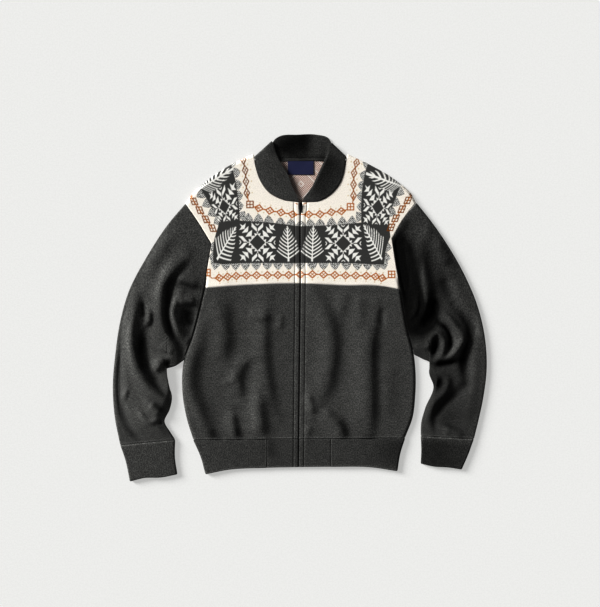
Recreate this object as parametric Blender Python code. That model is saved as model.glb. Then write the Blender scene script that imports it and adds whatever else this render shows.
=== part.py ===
"""Knit blouson with a zip front, laid flat on its back.

The cloth is built as a maker would cut it: jacquard yokes, jersey fronts, back and sleeves, and
doubled rib for the collar, cuffs and hem. Each piece is a wall of cloth. +Z is up, +Y runs towards
the collar, +X is the wearer's left, and z = 0 is the surface that the blouson lies on.
Tables and sizes are in millimetres; the finished meshes are in metres.
"""
from collections import namedtuple

import bmesh
import bpy
import numpy as np

MM = 0.001

# Cloth
JERSEY = 2.6            # wall of the plain and jacquard knit
RIB = 3.4               # wall of the doubled rib
SEAM = 0.4              # space between two pieces where they are sewn
CORNER_SEAM = 2.0       # the same for a piece whose seam turns a corner or crosses another seam
RIB_PITCH = 6.0
RIB_RELIEF = 0.35       # how far a rib stands over the mean surface, and a valley under it

# Layers, as heights of a wall's middle over the surface
FRONT = 7.2             # the fronts, which lie on the back
HEM_FRONT = 6.9
SLEEVE_EDGE = 6.6       # the sleeve's and cuff's top wall beside its folds
SLEEVE_LOFT = 5.2       # how much the air in the sleeve lifts it further in
LOFT_REACH = 26.0       # how far in from its folds a tube gains its full height
FOLD_REACH = 14.0       # how far in from its folds a tube's creases gain theirs
CUFF_LOFT = 0.9
ROLL = 6.0              # radius with which a front rolls down at the side and the shoulder
BACK_INSET = 5.6        # how far inside the outline the back ends, where a front rolls down round it
COLLAR_FRONT = 8.2
COLLAR_CROWN = 1.0
COLLAR_GAP = 8.0        # how far short of the shoulder the collar's folded front ends
COLLAR_BLEND = 1 / 6    # share of the collar's back in which it leaves the folded fronts

# Zip
WELT = 9.8              # from the zip to the stitching that holds the turned edge
STITCH_DIP = 0.6
TAPE = 1.0
TAPE_WIDTH = 11.0
TAPE_LEVEL = 4.4
SLIDER = (6.0, 9.5, 2.6)
SLIDER_AT = (2.0, 211.5)
PULL = (4.2, 15.6, 1.2)
PULL_LEVEL = 9.7        # height of the pull tab's pivot
BAIL = (1.2, 1.0)       # the bail's width and wall
BAIL_REACH = 1.5        # from the pivot to the bail's inner faces

# Neck label
LABEL = (53.0, 30.0, 0.8)
LABEL_AT = (2.0, 289.0)

# The outline and seams, as points of smooth lines. "right" is the wearer's right, at -X.
OUTLINE = {
    "right": dict(
        shoulder=[(-234.2, 214.4), (-225, 229.4), (-201.2, 253.2), (-136.8, 297.5), (-95.8, 316.5)],
        neck=[(-95.8, 316.5), (-91.1, 291.3), (-80.1, 260.6), (-59.8, 234.9), (-34.7, 222.4), (-1.4, 217.7)],
        armhole=[(-196.3, 41.2), (-189.5, 88), (-184, 124), (-188.5, 144), (-206, 172), (-234.2, 214.4)],
        side=[(-218.9, -270), (-233.2, -223.2), (-241.8, -163.2), (-238.6, -110), (-220.9, -57.2),
              (-196.3, 41.2)],
        sleeve_outer=[(-234.2, 214.4), (-266, 177.5), (-314.2, 104.8), (-350.7, 35.1), (-368.9, -28.5),
                      (-378.7, -94.1), (-383.9, -159.7), (-379.8, -223.2), (-368.5, -280.6)],
        sleeve_inner=[(-254.5, -118), (-278.5, -128), (-272.5, -156), (-263.3, -183.5),
                      (-267.4, -207.9), (-278.0, -233.5), (-265.4, -256), (-255.7, -270)],
        cuff_seam=[(-368.5, -280.6), (-312, -275.2), (-255.7, -270)],
        cuff_outer=[(-368.5, -280.6), (-357.5, -313), (-348.6, -355.9)],
        cuff_inner=[(-255.7, -270), (-256.4, -305), (-251.2, -341.1)],
        cuff_edge=[(-348.6, -355.9), (-318, -348.5), (-285, -347.5), (-251.2, -341.1)],
        hem_tab_top=(-67.1, -268.5),
        hem_tab_foot=(-68.2, -327.8),
        collar_edge=[(-58.1, 342.5), (-48.7, 318), (-39.3, 297.5), (-25.3, 275.7), (-15.9, 250.3),
                     (-3.6, 224.4)],
    ),
    "left": dict(
        shoulder=[(239.1, 216.5), (230.5, 232.7), (196.5, 263.2), (138.7, 297.5), (98.7, 316.5)],
        neck=[(98.7, 316.5), (93.5, 291), (83.8, 258), (65.7, 234.9), (43.6, 221), (5.4, 217.7)],
        armhole=[(207, 38), (198, 88), (191, 130), (195, 155), (212, 181), (239.1, 216.5)],
        side=[(216.5, -266), (232.4, -223.2), (237.3, -183.3), (234.8, -98), (220.5, -40), (207, 38)],
        sleeve_outer=[(239.1, 216.5), (273.2, 173.4), (306, 125.3), (338.4, 67.9), (362.7, 11.3),
                      (376.9, -40.8), (383.9, -123), (376.9, -183.3), (366.6, -231.5), (357.5, -268)],
        sleeve_inner=[(252.7, -104.3), (268.5, -112.5), (266.8, -134), (275.5, -161),
                      (257.4, -208), (249.5, -236), (248.4, -262)],
        cuff_seam=[(357.5, -268), (303, -265), (248.4, -262)],
        cuff_outer=[(357.5, -268), (345.5, -301), (332.2, -331.3)],
        cuff_inner=[(248.4, -262), (249.6, -290), (248.4, -319.2)],
        cuff_edge=[(332.2, -331.3), (305, -327), (275, -325), (248.4, -319.2)],
        hem_tab_top=(64.1, -267),
        hem_tab_foot=(64.1, -325.7),
        collar_edge=[(66.2, 339), (57.5, 318), (47, 295), (36, 272), (26, 250), (7.6, 224.4)],
    ),
}
YOKE_SEAM = [(-196.3, 41.2), (-99.9, 47.8), (0, 50.4), (92.4, 46.5), (163, 45.5), (207, 38)]
HEM_SEAM = [(-218.9, -270), (-67.1, -268.6), (64.1, -267.4), (216.5, -266)]
HEM_EDGE = [(-193.6, -341.1), (-147.1, -331.9), (-68.2, -327.8), (0, -326.4), (64.1, -325.7),
            (147.3, -326.8), (200.4, -334.6)]
HEM_SIDE = {"right": [(-218.9, -270), (-203.5, -305), (-193.6, -341.1)],
            "left": [(216.5, -266), (206.5, -298), (200.4, -334.6)]}
UNDERARM = {"right": -106.0, "left": -95.0}     # height up the side where the sleeve's underside leaves it
ZIP_AT = {"yoke": 50, "hem": -267, "foot": -326}    # heights at which the body's seams meet the zip
BACK_NECK = [(-93, 301.5), (-39.3, 305), (4, 306), (51.6, 306), (96, 302)]
COLLAR_TOP = [(-58.1, 342.5), (-39.5, 353.4), (-4.8, 355.9), (34.3, 355.9), (57.9, 349.5), (66.2, 339)]

# The zip line: height up the front, where it lies, and half the space between the two front edges
ZipRow = namedtuple("ZipRow", "y x half_gap")
ZIP = [
    ZipRow(-326.6, -2.3, 1.0),
    ZipRow(-180.0, -1.0, 1.0),
    ZipRow(50.4, 1.5, 1.0),
    ZipRow(150.0, 1.0, 1.0),
    ZipRow(190.0, 1.1, 1.3),
    ZipRow(204.0, 1.9, 3.5),
    ZipRow(217.7, 2.0, 3.4),
]

# The largest folds: half width, height over the cloth (a trough is negative), and the fold's line
Fold = namedtuple("Fold", "width height line")
FRONT_FOLDS = [
    Fold(12, -2.2, [(-149, -2), (-139, -104)]),
    Fold(11, -2.4, [(-196, -37), (-207, -125), (-190, -225), (-173, -264)]),
    Fold(11, -1.8, [(-108, -112), (-118, -163)]),
    Fold(11, -2.0, [(-68, -37), (-65, -125), (-43, -229)]),
    Fold(9, -2.4, [(-131, -225), (-126, -264)]),
    Fold(9, -1.8, [(-75, -178), (-68, -262)]),
    Fold(14, 2.2, [(-170, -150), (-150, -250)]),
    Fold(14, 1.8, [(-95, -60), (-92, -240)]),
    Fold(11, -2.0, [(40, 27), (71, -47), (74, -112), (50, -178)]),
    Fold(11, -2.4, [(169, 0), (147, -59), (147, -178), (152, -256)]),
    Fold(9, -1.8, [(25, -178), (37, -219)]),
    Fold(9, -2.4, [(68, -225), (95, -262)]),
    Fold(15, 2.0, [(110, -20), (108, -240)]),
    Fold(14, 2.0, [(190, -60), (188, -230)]),
]
SLEEVE_FOLDS = {
    "right": [
        Fold(13, 5.0, [(-241, 109), (-282, 60), (-302, 3), (-312, -17)]),
        Fold(10, 5.0, [(-262, 19), (-262, -37), (-235, -61)]),
        Fold(11, -4.0, [(-222, 20), (-240, -33)]),
        Fold(12, 4.5, [(-346, -57), (-338, -127), (-317, -194), (-290, -225)]),
        Fold(9, -5.0, [(-326, -61), (-310, -135)]),
        Fold(10, 4.5, [(-290, -127), (-258, -92)]),
        Fold(9, -3.0, [(-370, -192), (-325, -272)]),
        Fold(12, 3.0, [(-300, -190), (-300, -265)]),
    ],
    "left": [
        Fold(9, 4.0, [(245, 35), (257, -20)]),
        Fold(11, 5.0, [(265, 35), (273, -1), (318, -37), (322, -82), (292, -105)]),
        Fold(9, 4.5, [(241, -70), (273, -53), (296, -66)]),
        Fold(10, -4.5, [(285, -80), (262, -88)]),
        Fold(10, -4.0, [(343, -12), (351, -143), (327, -244)]),
        Fold(9, -3.0, [(268, -139), (292, -165)]),
        Fold(13, 3.5, [(305, -150), (290, -250)]),
        Fold(14, 3.0, [(290, 120), (330, 30)]),
    ],
}

COLOUR = {
    "jacquard": (0.78, 0.70, 0.58),
    "jersey": (0.045, 0.045, 0.043),
    "rib": (0.038, 0.038, 0.037),
    "label": (0.010, 0.012, 0.042),
    "tape": (0.012, 0.012, 0.012),
    "metal": (0.10, 0.10, 0.10),
}


class Line:
    """A plan line read by its share of length, from 0 to 1."""

    def __init__(self, xy):
        self.xy = xy
        steps = np.linalg.norm(np.diff(xy, axis=0), axis=1)
        self.length = steps.sum()
        self.share = np.append(0, np.cumsum(steps)) / self.length

    def __call__(self, share):
        return np.stack([np.interp(share, self.share, self.xy[:, k]) for k in (0, 1)], axis=-1)

    def part(self, low, high, count=121):
        """The stretch between two shares of the length, run from the first to the second."""
        return Line(self(np.linspace(low, high, count)))

    def share_at(self, axis, value):
        """The share of length where the line's x (axis 0) or y (axis 1) has a value."""
        order = np.argsort(self.xy[:, axis])
        return float(np.interp(value, self.xy[order, axis], self.share[order]))


def through(points):
    """A smooth line through points: on each stretch a cubic, with slopes from the neighbouring points."""
    p = np.array(points, float)
    t = np.append(0, np.cumsum(np.linalg.norm(np.diff(p, axis=0), axis=1)))
    slope = np.gradient(p, t, axis=0)
    at = np.linspace(0, t[-1], 241)
    i = np.clip(np.searchsorted(t, at, side="right") - 1, 0, len(t) - 2)
    h = (t[i + 1] - t[i])[:, None]
    s = (at - t[i])[:, None] / h
    return Line((2 * s**3 - 3 * s**2 + 1) * p[i] + (s**3 - 2 * s**2 + s) * h * slope[i]
                + (3 * s**2 - 2 * s**3) * p[i + 1] + (s**3 - s**2) * h * slope[i + 1])


def join(*lines):
    """One line from several that run on from each other, keeping the corners between them."""
    return Line(np.concatenate([lines[0].xy] + [line.xy[1:] for line in lines[1:]]))


def zip_x(side, y):
    """Where a front's edge lies beside the zip: the zip line's x, plus or minus half the gap there."""
    table = np.array(ZIP)
    gap = np.interp(y, table[:, 0], table[:, 2])
    return np.interp(y, table[:, 0], table[:, 1]) + (gap if side == "left" else -gap)


def zip_edge(side, low, high):
    """A front's edge beside the zip, between two heights up the front."""
    y = np.linspace(low, high, 61)
    return Line(np.stack([zip_x(side, y), y], axis=-1))


def patch(left, right, bottom, top, u, v):
    """Coons patch of four edge lines: what the left and right ones give, plus what the bottom and top
    ones give, less the straight blend of the four corners. u runs left to right, v bottom to top."""
    a, b = u[..., None], v[..., None]
    between_ends = (1 - b) * bottom(u) + b * top(u) + (1 - a) * left(v) + a * right(v)
    zero, one = np.zeros(1), np.ones(1)
    corners = ((1 - a) * (1 - b) * bottom(zero) + a * (1 - b) * bottom(one)
               + (1 - a) * b * top(zero) + a * b * top(one))
    return between_ends - corners


def row_tangents(edges, share, v):
    """Plan tangents of the patch's row at v, at shares of its length."""
    step = 1e-3
    at = np.full(share.shape, v)
    return patch(*edges, share + step, at) - patch(*edges, share - step, at)


def lengths(edges, fixed, along):
    """Length of the patch's lines, across at each v (along = 0) or up at each u (along = 1)."""
    run, held = np.meshgrid(np.linspace(0, 1, 41), fixed)
    points = patch(*edges, run, held) if along == 0 else patch(*edges, held, run)
    return np.linalg.norm(np.diff(points, axis=1), axis=2).sum(axis=1)


def stations(length, starts, ends, count):
    """Distances along lines of the given lengths: set ones at both ends, even ones between."""
    length = np.asarray(length, float)[:, None]
    starts, ends = (np.atleast_2d(np.array(end, float)) for end in (starts, ends))
    first = np.broadcast_to(starts, (len(length), starts.shape[1]))
    last = length - ends[:, ::-1]
    inner = np.linspace(0, 1, count + 2)[1:-1]
    middle = first[:, -1:] + (last[:, :1] - first[:, -1:]) * inner
    return np.concatenate([first, middle, last], axis=1)


def ease(x):
    """0 below 0, 1 above 1, and between them 3x² − 2x³."""
    x = np.clip(x, 0, 1)
    return x * x * (3 - 2 * x)


def folded(points, folds):
    """Height that the folds give at plan points: for each, its height times a bell of the distance to
    its line, tapered over the last third at both ends."""
    height = np.zeros(points.shape[:-1])
    for fold in folds:
        share = np.linspace(0, 1, 33)
        line = through(fold.line)(share)
        away = np.linalg.norm(points[..., None, :] - line, axis=-1)
        nearest = share[np.argmin(away, axis=-1)]
        taper = 0.3 + 0.7 * ease(np.minimum(nearest, 1 - nearest) / 0.3)
        height += fold.height * taper * np.exp(-(away.min(axis=-1) / fold.width) ** 2)
    return height


def across(tangent):
    """The level unit vectors square to the given plan tangents."""
    unit = tangent / np.maximum(np.linalg.norm(tangent, axis=-1, keepdims=True), 1e-9)
    return np.stack([-unit[..., 1], unit[..., 0], np.zeros(unit.shape[:-1])], axis=-1)


Seam = namedtuple("Seam", "tangent share gap", defaults=(None, 1, SEAM))


def part_from_seams(mid, seams):
    """Moves edge points half a seam's space into the piece; gives the edges' level normals."""
    inward = {}
    for name, (tangent, share, gap) in seams.items():
        edge, inner = {"bottom": (np.s_[0], np.s_[1]), "top": (np.s_[-1], np.s_[-2]),
                       "left": (np.s_[:, 0], np.s_[:, 1]), "right": (np.s_[:, -1], np.s_[:, -2])}[name]
        level = across(np.gradient(mid[edge][:, :2], axis=0) if tangent is None else tangent)
        level *= np.sign(np.sum((mid[inner] - mid[edge]) * level, axis=-1, keepdims=True))
        inward[name] = (edge, level, share, gap)
    for edge, level, _, gap in inward.values():
        mid[edge] += level * gap / 2
    return inward


def wall(name, mid, thick, seams, relief=None, step=1, ring=False, cloth="jersey"):
    """A cloth wall round its middle surface: a grid of rows (v) and columns (u), closed at its rims.

    seams names the edges that are sewn, each as a Seam: its tangents (None: taken from its points),
    the share, 0 to 1, to which its rim stays upright, and the space between the two pieces. relief
    is added to the outer points. The inner side keeps every step-th column. A ring joins its last
    column to its first.
    """
    mid = mid.copy()
    rims = part_from_seams(mid, seams)
    along = np.concatenate([mid[:, -1:], mid, mid[:, :1]], axis=1) if ring else mid
    du = np.gradient(along, axis=1)
    du = du[:, 1:-1] if ring else du
    normal = np.cross(du, np.gradient(mid, axis=0))
    if normal[:, : mid.shape[1] // 3, 2].sum() < 0:
        normal = -normal
    for edge, level, share, _ in rims.values():
        part = normal[edge]
        lean = np.sum(part * level, axis=-1, keepdims=True)
        normal[edge] = part - lean * level * np.reshape(share, (-1, 1))
    normal /= np.linalg.norm(normal, axis=-1, keepdims=True)
    lift = np.full(mid.shape[:2], thick / 2) if relief is None else thick / 2 + relief
    outer = mid + normal * lift[..., None]
    inner = mid - normal * thick / 2
    for side in (outer, inner):
        side[..., 2] = np.maximum(side[..., 2], 0)
    rows, columns = mid.shape[:2]
    kept = list(range(0, columns, step))
    if not ring and kept[-1] != columns - 1:
        kept.append(columns - 1)
    inner = inner[:, kept]
    mesh = bmesh.new()
    out = [[mesh.verts.new(p * MM) for p in row] for row in outer]
    into = [[mesh.verts.new(p * MM) for p in row] for row in inner]
    pairs = list(zip(kept, kept[1:] + [columns])) if ring else list(zip(kept, kept[1:]))
    for i in range(rows - 1):
        for j in range(columns if ring else columns - 1):
            k = (j + 1) % columns
            mesh.faces.new([out[i][j], out[i][k], out[i + 1][k], out[i + 1][j]])
        for n in range(len(pairs)):
            k = (n + 1) % len(kept)
            mesh.faces.new([into[i][n], into[i + 1][n], into[i + 1][k], into[i][k]])
    for i in (0, rows - 1):
        for n, (low, high) in enumerate(pairs):
            k = (n + 1) % len(kept)
            middle = (low + high) // 2
            for j in range(low, high):
                near = n if j < middle else k
                mesh.faces.new([out[i][j], out[i][(j + 1) % columns], into[i][near]])
            mesh.faces.new([into[i][n], into[i][k], out[i][middle % columns]])
    if not ring:
        for j, k in ((0, 0), (columns - 1, len(kept) - 1)):
            for i in range(rows - 1):
                mesh.faces.new([out[i][j], out[i + 1][j], into[i + 1][k], into[i][k]])
    bmesh.ops.recalc_face_normals(mesh, faces=mesh.faces)
    return add(name, mesh, cloth)


def slab(name, outline, thick, cloth, base=0.0):
    """A flat piece of cloth: an outline raised by the cloth's thickness."""
    mesh = bmesh.new()
    face = mesh.faces.new([mesh.verts.new((x * MM, y * MM, base * MM)) for x, y in outline])
    raised = bmesh.ops.extrude_face_region(mesh, geom=[face])
    corners = [item for item in raised["geom"] if isinstance(item, bmesh.types.BMVert)]
    bmesh.ops.translate(mesh, vec=(0, 0, thick * MM), verts=corners)
    bmesh.ops.recalc_face_normals(mesh, faces=mesh.faces)
    return add(name, mesh, cloth)


def add(name, mesh, cloth):
    """Adds a finished mesh as a named object with its cloth's material."""
    data = bpy.data.meshes.new(name)
    mesh.to_mesh(data)
    mesh.free()
    data.shade_smooth()
    data.set_sharp_from_angle(angle=0.9)
    data.materials.append(material(cloth))
    piece = bpy.data.objects.new(name, data)
    bpy.context.collection.objects.link(piece)
    return piece


def material(cloth):
    """The plain material of one cloth, made once."""
    if cloth in bpy.data.materials:
        return bpy.data.materials[cloth]
    made = bpy.data.materials.new(cloth)
    made.use_nodes = True
    shader = made.node_tree.nodes["Principled BSDF"]
    shader.inputs["Base Color"].default_value = (*COLOUR[cloth], 1)
    shader.inputs["Roughness"].default_value = 0.35 if cloth == "metal" else 0.9
    shader.inputs["Metallic"].default_value = 1.0 if cloth == "metal" else 0.0
    return made


ROLLED = np.radians([0, 35, 65, 90])        # angles round a front's rolled edge
BEND = np.radians([45, 90, 135])            # angles round a tube's fold, between its two walls


def roll(thick, share):
    """Distances from a rolled edge, and heights as a share of full, where share is 1 for a whole roll:
    in plan the roll's radius times 1 less its angle's cosine, in height the angle's sine."""
    share = np.reshape(share, (-1, 1))
    rolled_in = thick / 2 + SEAM / 2 + ROLL * (1 - np.cos(ROLLED))
    flat_in = np.array([0, 3, 6, 9.0])
    return share * rolled_in + (1 - share) * flat_in, share * np.sin(ROLLED) + 1 - share


def half(line, side, edge_x):
    """The part of a line across the whole body that lies on one front: from its side to the zip."""
    return line.part(0 if side == "right" else 1, line.share_at(0, edge_x))


def front_height(side, points, level=FRONT):
    """Height of a front's middle: its level, its folds and the dip where the turned edge is sewn."""
    from_zip = np.abs(points[..., 0] - zip_x(side, points[..., 1]))
    stitching = STITCH_DIP * np.exp(-((from_zip - WELT) / 1.3) ** 2)
    near_zip = ease(from_zip / (2 * WELT))
    return level + folded(points, FRONT_FOLDS) * near_zip - stitching


WELT_COLUMNS = [0, 4.2, 8.0, WELT, 11.6]


def body_side(side):
    """The line up a body's side, from the hem seam past the underarm to the yoke seam."""
    return through(OUTLINE[side]["side"])


def front_body(side):
    """Jersey front below the yoke: rolled down at the side, its edge turned in at the zip."""
    bottom = half(through(HEM_SEAM), side, zip_x(side, ZIP_AT["hem"]))
    top = half(through(YOKE_SEAM), side, zip_x(side, ZIP_AT["yoke"]))
    right = zip_edge(side, bottom.xy[-1, 1], top.xy[-1, 1])
    edges = (body_side(side), right, bottom, top)
    v = np.linspace(0, 1, 12)
    across_body = lengths(edges, v, 0)
    side_in, fall = roll(JERSEY, np.ones(len(v)))
    u = stations(across_body, side_in, WELT_COLUMNS, 13) / across_body[:, None]
    plan = patch(*edges, u, np.broadcast_to(v[:, None], u.shape))
    z = front_height(side, plan)
    z[:, : len(ROLLED)] *= fall
    seams = {"bottom": Seam(), "top": Seam(), "right": Seam()}
    wall(f"front_body_{side}", np.dstack([plan, z]), JERSEY, seams)


def front_yoke(side):
    """Jacquard front yoke, from the yoke seam over to the shoulder line, and cut out at the neck."""
    shape = OUTLINE[side]
    shoulder, neck = through(shape["shoulder"]), through(shape["neck"])
    top = join(shoulder, neck)
    corner = shoulder.length / top.length
    bottom = half(through(YOKE_SEAM), side, zip_x(side, ZIP_AT["yoke"]))
    right = zip_edge(side, bottom.xy[-1, 1], neck.xy[-1, 1])
    edges = (through(shape["armhole"]), right, bottom, top)
    v_even = np.linspace(0, 1, 11)
    across_yoke = lengths(edges, v_even, 0)
    rolled_side = 1 - ease((v_even - 0.2) / 0.25)
    side_in, fall = roll(JERSEY, rolled_side)
    to_corner = stations(across_yoke * corner, side_in, [0], 5)
    to_zip = stations(across_yoke * (1 - corner), [0], WELT_COLUMNS, 8)[:, 1:]
    u = np.concatenate([to_corner, across_yoke[:, None] * corner + to_zip], axis=1) / across_yoke[:, None]
    up = lengths(edges, u[-1], 1)
    rolled_top = 1 - ease((u[-1] - corner + 0.05) / 0.09)
    top_in, drop = roll(JERSEY, rolled_top)
    v = (stations(up, [0], top_in, 7) / up[:, None]).T
    even = v.mean(axis=1)
    u = np.stack([np.interp(even, v_even, u[:, j]) for j in range(u.shape[1])], axis=1)
    fall = np.stack([np.interp(even, v_even, fall[:, j]) for j in range(len(ROLLED))], axis=1)
    plan = patch(*edges, u, v)
    z = front_height(side, plan)
    z[:, : len(ROLLED)] *= fall
    z[-len(ROLLED):] *= drop[:, ::-1].T
    seams = {"bottom": Seam(), "top": Seam(share=1 - rolled_top), "right": Seam(),
             "left": Seam(share=1 - np.interp(even, v_even, rolled_side))}
    wall(f"front_yoke_{side}", np.dstack([plan, z]), JERSEY, seams, cloth="jacquard")


def back(name, edges, cloth, rows, columns, corner=None):
    """A flat back panel, set in from the outline where the fronts roll down round it."""
    v = np.linspace(0, 1, rows)
    across_back = lengths(edges, v, 0)
    u = stations(across_back, [BACK_INSET], [BACK_INSET], columns) / across_back[:, None]
    up = lengths(edges, u[-1], 1)
    top_in = np.full(len(up), SEAM / 2)
    if corner is not None:
        top_in[(u[-1] < corner[0]) | (u[-1] > corner[1])] = BACK_INSET
    v = (stations(up, [SEAM / 2], top_in[:, None], rows - 2) / up[:, None]).T
    plan = patch(*edges, u, v)
    outline = np.concatenate([plan[0], plan[1:-1, -1], plan[-1, ::-1], plan[-2:0:-1, 0]])
    slab(name, outline, JERSEY, cloth)


def back_panels():
    """The back yoke, up to the shoulders and the back neck, and the jersey back below it."""
    right, left = OUTLINE["right"], OUTLINE["left"]
    shoulder_right = through(right["shoulder"]).part(0, 0.97)
    shoulder_left = through(left["shoulder"]).part(0.97, 0)
    neck = through(BACK_NECK)
    top = join(shoulder_right, neck, shoulder_left)
    ends = (shoulder_right.length / top.length, 1 - shoulder_left.length / top.length)
    yoke_edges = (through(right["armhole"]), through(left["armhole"]), through(YOKE_SEAM), top)
    back("back_yoke", yoke_edges, "jacquard", 10, 40, ends)
    body_edges = (body_side("right"), body_side("left"), through(HEM_SEAM), through(YOKE_SEAM))
    back("back_body", body_edges, "jersey", 16, 12)


def rib_relief(shape, runs):
    """Relief of a wall's points: ribs and valleys in turn, along runs given by first column and count."""
    relief = np.zeros(shape)
    for start, count in runs:
        relief[:, start + 1:start + count - 1:2] = RIB_RELIEF
        relief[:, start + 2:start + count - 1:2] = -RIB_RELIEF
    return relief


def tube(name, edges, counts, edge_level, rise, folds, wall_thick, cloth, ribs=False, top_gap=SEAM):
    """A flattened tube of cloth round a plan patch: its top wall, a fold, its flat underside, a fold.

    The patch's u runs from the outer fold to the inner one, and v from the sleeve's top end to its
    foot. counts are the rows and the columns of the top wall and the underside. edge_level and rise
    give, per row, the top wall's height beside the folds and how much higher it is further in.
    """
    rows, top, under = counts
    v = np.linspace(0, 1, rows)
    length = lengths(edges, v, 0)
    low = wall_thick / 2
    radius = (edge_level(v) - low) / 2
    inset = radius + wall_thick / 2
    over = stations(length - 2 * inset, [0], [0], top - 2) + inset[:, None]
    below = stations(length - 2 * inset, [0], [0], under - 2)[:, ::-1] + inset[:, None]
    inner = (length - inset)[:, None] + radius[:, None] * np.sin(BEND)
    outer = inset[:, None] - radius[:, None] * np.sin(BEND[::-1])
    bend_z = low + radius[:, None] * (1 + np.cos(BEND))
    along = np.concatenate([over, inner, below, outer], axis=1)
    rows_v = np.broadcast_to(v[:, None], along.shape)
    plan = patch(*edges, along / length[:, None], rows_v)
    edge_in = np.minimum(over, length[:, None] - over) - inset[:, None]
    lifted = ease(edge_in / LOFT_REACH + 0.12) * (edge_in > 0)
    over_z = edge_level(v)[:, None] + rise(v)[:, None] * lifted
    over_z += folded(plan[:, :top], folds) * ease(edge_in / FOLD_REACH) * ease(v / 0.06)[:, None]
    over_z = np.maximum(over_z, low + 1.15 * wall_thick + SEAM)
    z = np.concatenate([over_z, bend_z, np.full(below.shape, low), bend_z[:, ::-1]], axis=1)
    relief = rib_relief(z.shape, [(0, top)]) if ribs else None
    ends = {}
    for key, i, gap in (("bottom", 0, top_gap), ("top", -1, SEAM)):
        ends[key] = Seam(row_tangents(edges, along[i] / length[i], v[i]), 1, gap)
    wall(name, np.dstack([plan, z]), wall_thick, ends, relief, 4 if ribs else 1, ring=True, cloth=cloth)


def sleeve(side):
    """A sleeve: a jersey tube from the armhole to the cuff seam, with its largest folds."""
    shape = OUTLINE[side]
    body = body_side(side)
    underarm = body.share_at(1, UNDERARM[side])
    armhole = join(through(shape["armhole"]).part(1, 0), body.part(1, underarm))
    inner = through([tuple(body(np.array([underarm]))[0])] + shape["sleeve_inner"])
    edges = (through(shape["sleeve_outer"]), inner, armhole, through(shape["cuff_seam"]))

    def edge_level(v):
        return SLEEVE_EDGE + (FRONT - SLEEVE_EDGE) * (1 - ease(v / 0.1))

    def rise(v):
        return SLEEVE_LOFT * ease(v / 0.2) + (CUFF_LOFT - SLEEVE_LOFT) * ease((v - 0.85) / 0.15)

    folds = SLEEVE_FOLDS[side]
    tube(f"sleeve_{side}", edges, (20, 20, 5), edge_level, rise, folds, JERSEY, "jersey", top_gap=CORNER_SEAM)


def cuff(side):
    """A doubled rib cuff, as a tube from the sleeve's foot to its open end."""
    shape = OUTLINE[side]
    edges = [through(shape[name]) for name in ("cuff_outer", "cuff_inner", "cuff_seam", "cuff_edge")]
    ribs = round(np.mean([edges[2].length, edges[3].length]) / RIB_PITCH)

    def edge_level(v):
        return np.full(len(v), SLEEVE_EDGE)

    def rise(v):
        return np.full(len(v), CUFF_LOFT)

    tube(f"cuff_{side}", edges, (4, 2 * ribs, 5), edge_level, rise, [], RIB, "rib", ribs=True)


def hem_lines():
    """The hem band's patch: its two sides, the seam above it and its foot."""
    return through(HEM_SIDE["right"]), through(HEM_SIDE["left"]), through(HEM_SEAM), through(HEM_EDGE)


def hem_rib():
    """Doubled rib hem band: one strip from the right tab, round the back, to the left tab."""
    edges = hem_lines()
    v = np.linspace(0, 1, 4)
    length = lengths(edges, v, 0)
    low = RIB / 2
    radius = (HEM_FRONT - low) / 2
    inset = radius + RIB / 2
    tab = {}
    for side in ("right", "left"):
        ends = [edges[2].share_at(0, OUTLINE[side]["hem_tab_top"][0]),
                edges[3].share_at(0, OUTLINE[side]["hem_tab_foot"][0])]
        tab[side] = length * np.interp(v, [0, 1], ends)
    bend_z = low + radius * (1 + np.cos(BEND))
    turn = radius * np.sin(BEND)
    back = 14
    counts = {"right": 2 * round((tab["right"].mean() - inset) / RIB_PITCH),
              "left": 2 * round(((length - tab["left"]).mean() - inset) / RIB_PITCH)}
    near, far = np.full(len(v), inset), length - inset
    along = np.concatenate([
        np.linspace(tab["right"], near, counts["right"]).T,
        near[:, None] - turn,
        np.linspace(near, far, back).T,
        far[:, None] + turn[::-1],
        np.linspace(far, tab["left"], counts["left"]).T], axis=1)
    z = np.concatenate([np.full(counts["right"], HEM_FRONT), bend_z, np.full(back, low), bend_z[::-1],
                        np.full(counts["left"], HEM_FRONT)])
    plan = patch(*edges, along / length[:, None], np.broadcast_to(v[:, None], along.shape))
    runs = [(0, counts["right"]), (along.shape[1] - counts["left"], counts["left"])]
    relief = rib_relief(along.shape, runs)
    ends = {key: Seam(row_tangents(edges, along[i] / length[i], v[i]))
            for key, i in (("bottom", 0), ("top", -1))}
    ends["left"] = ends["right"] = Seam()
    wall("hem_rib", np.dstack([plan, np.broadcast_to(z, along.shape)]), RIB, ends, relief, 4, cloth="rib")


def hem_tab(side):
    """Plain end of the hem band, between its seam and the zip."""
    shape = OUTLINE[side]
    _, _, seam, foot = hem_lines()
    ends = [(seam, shape["hem_tab_top"], ZIP_AT["hem"]), (foot, shape["hem_tab_foot"], ZIP_AT["foot"])]
    bottom, top = [line.part(line.share_at(0, at[0]), line.share_at(0, zip_x(side, y)))
                   for line, at, y in ends]
    left = Line(np.array([bottom.xy[0], top.xy[0]]))
    right = zip_edge(side, bottom.xy[-1, 1], top.xy[-1, 1])
    edges = (left, right, bottom, top)
    v = np.linspace(0, 1, 4)
    length = lengths(edges, v, 0)
    u = stations(length, [0], WELT_COLUMNS, 3) / length[:, None]
    plan = patch(*edges, u, np.broadcast_to(v[:, None], u.shape))
    z = front_height(side, plan, HEM_FRONT)
    seams = {key: Seam(gap=2 * SEAM) for key in ("bottom", "top", "left", "right")}
    wall(f"hem_tab_{side}", np.dstack([plan, z]), JERSEY, seams)


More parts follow.
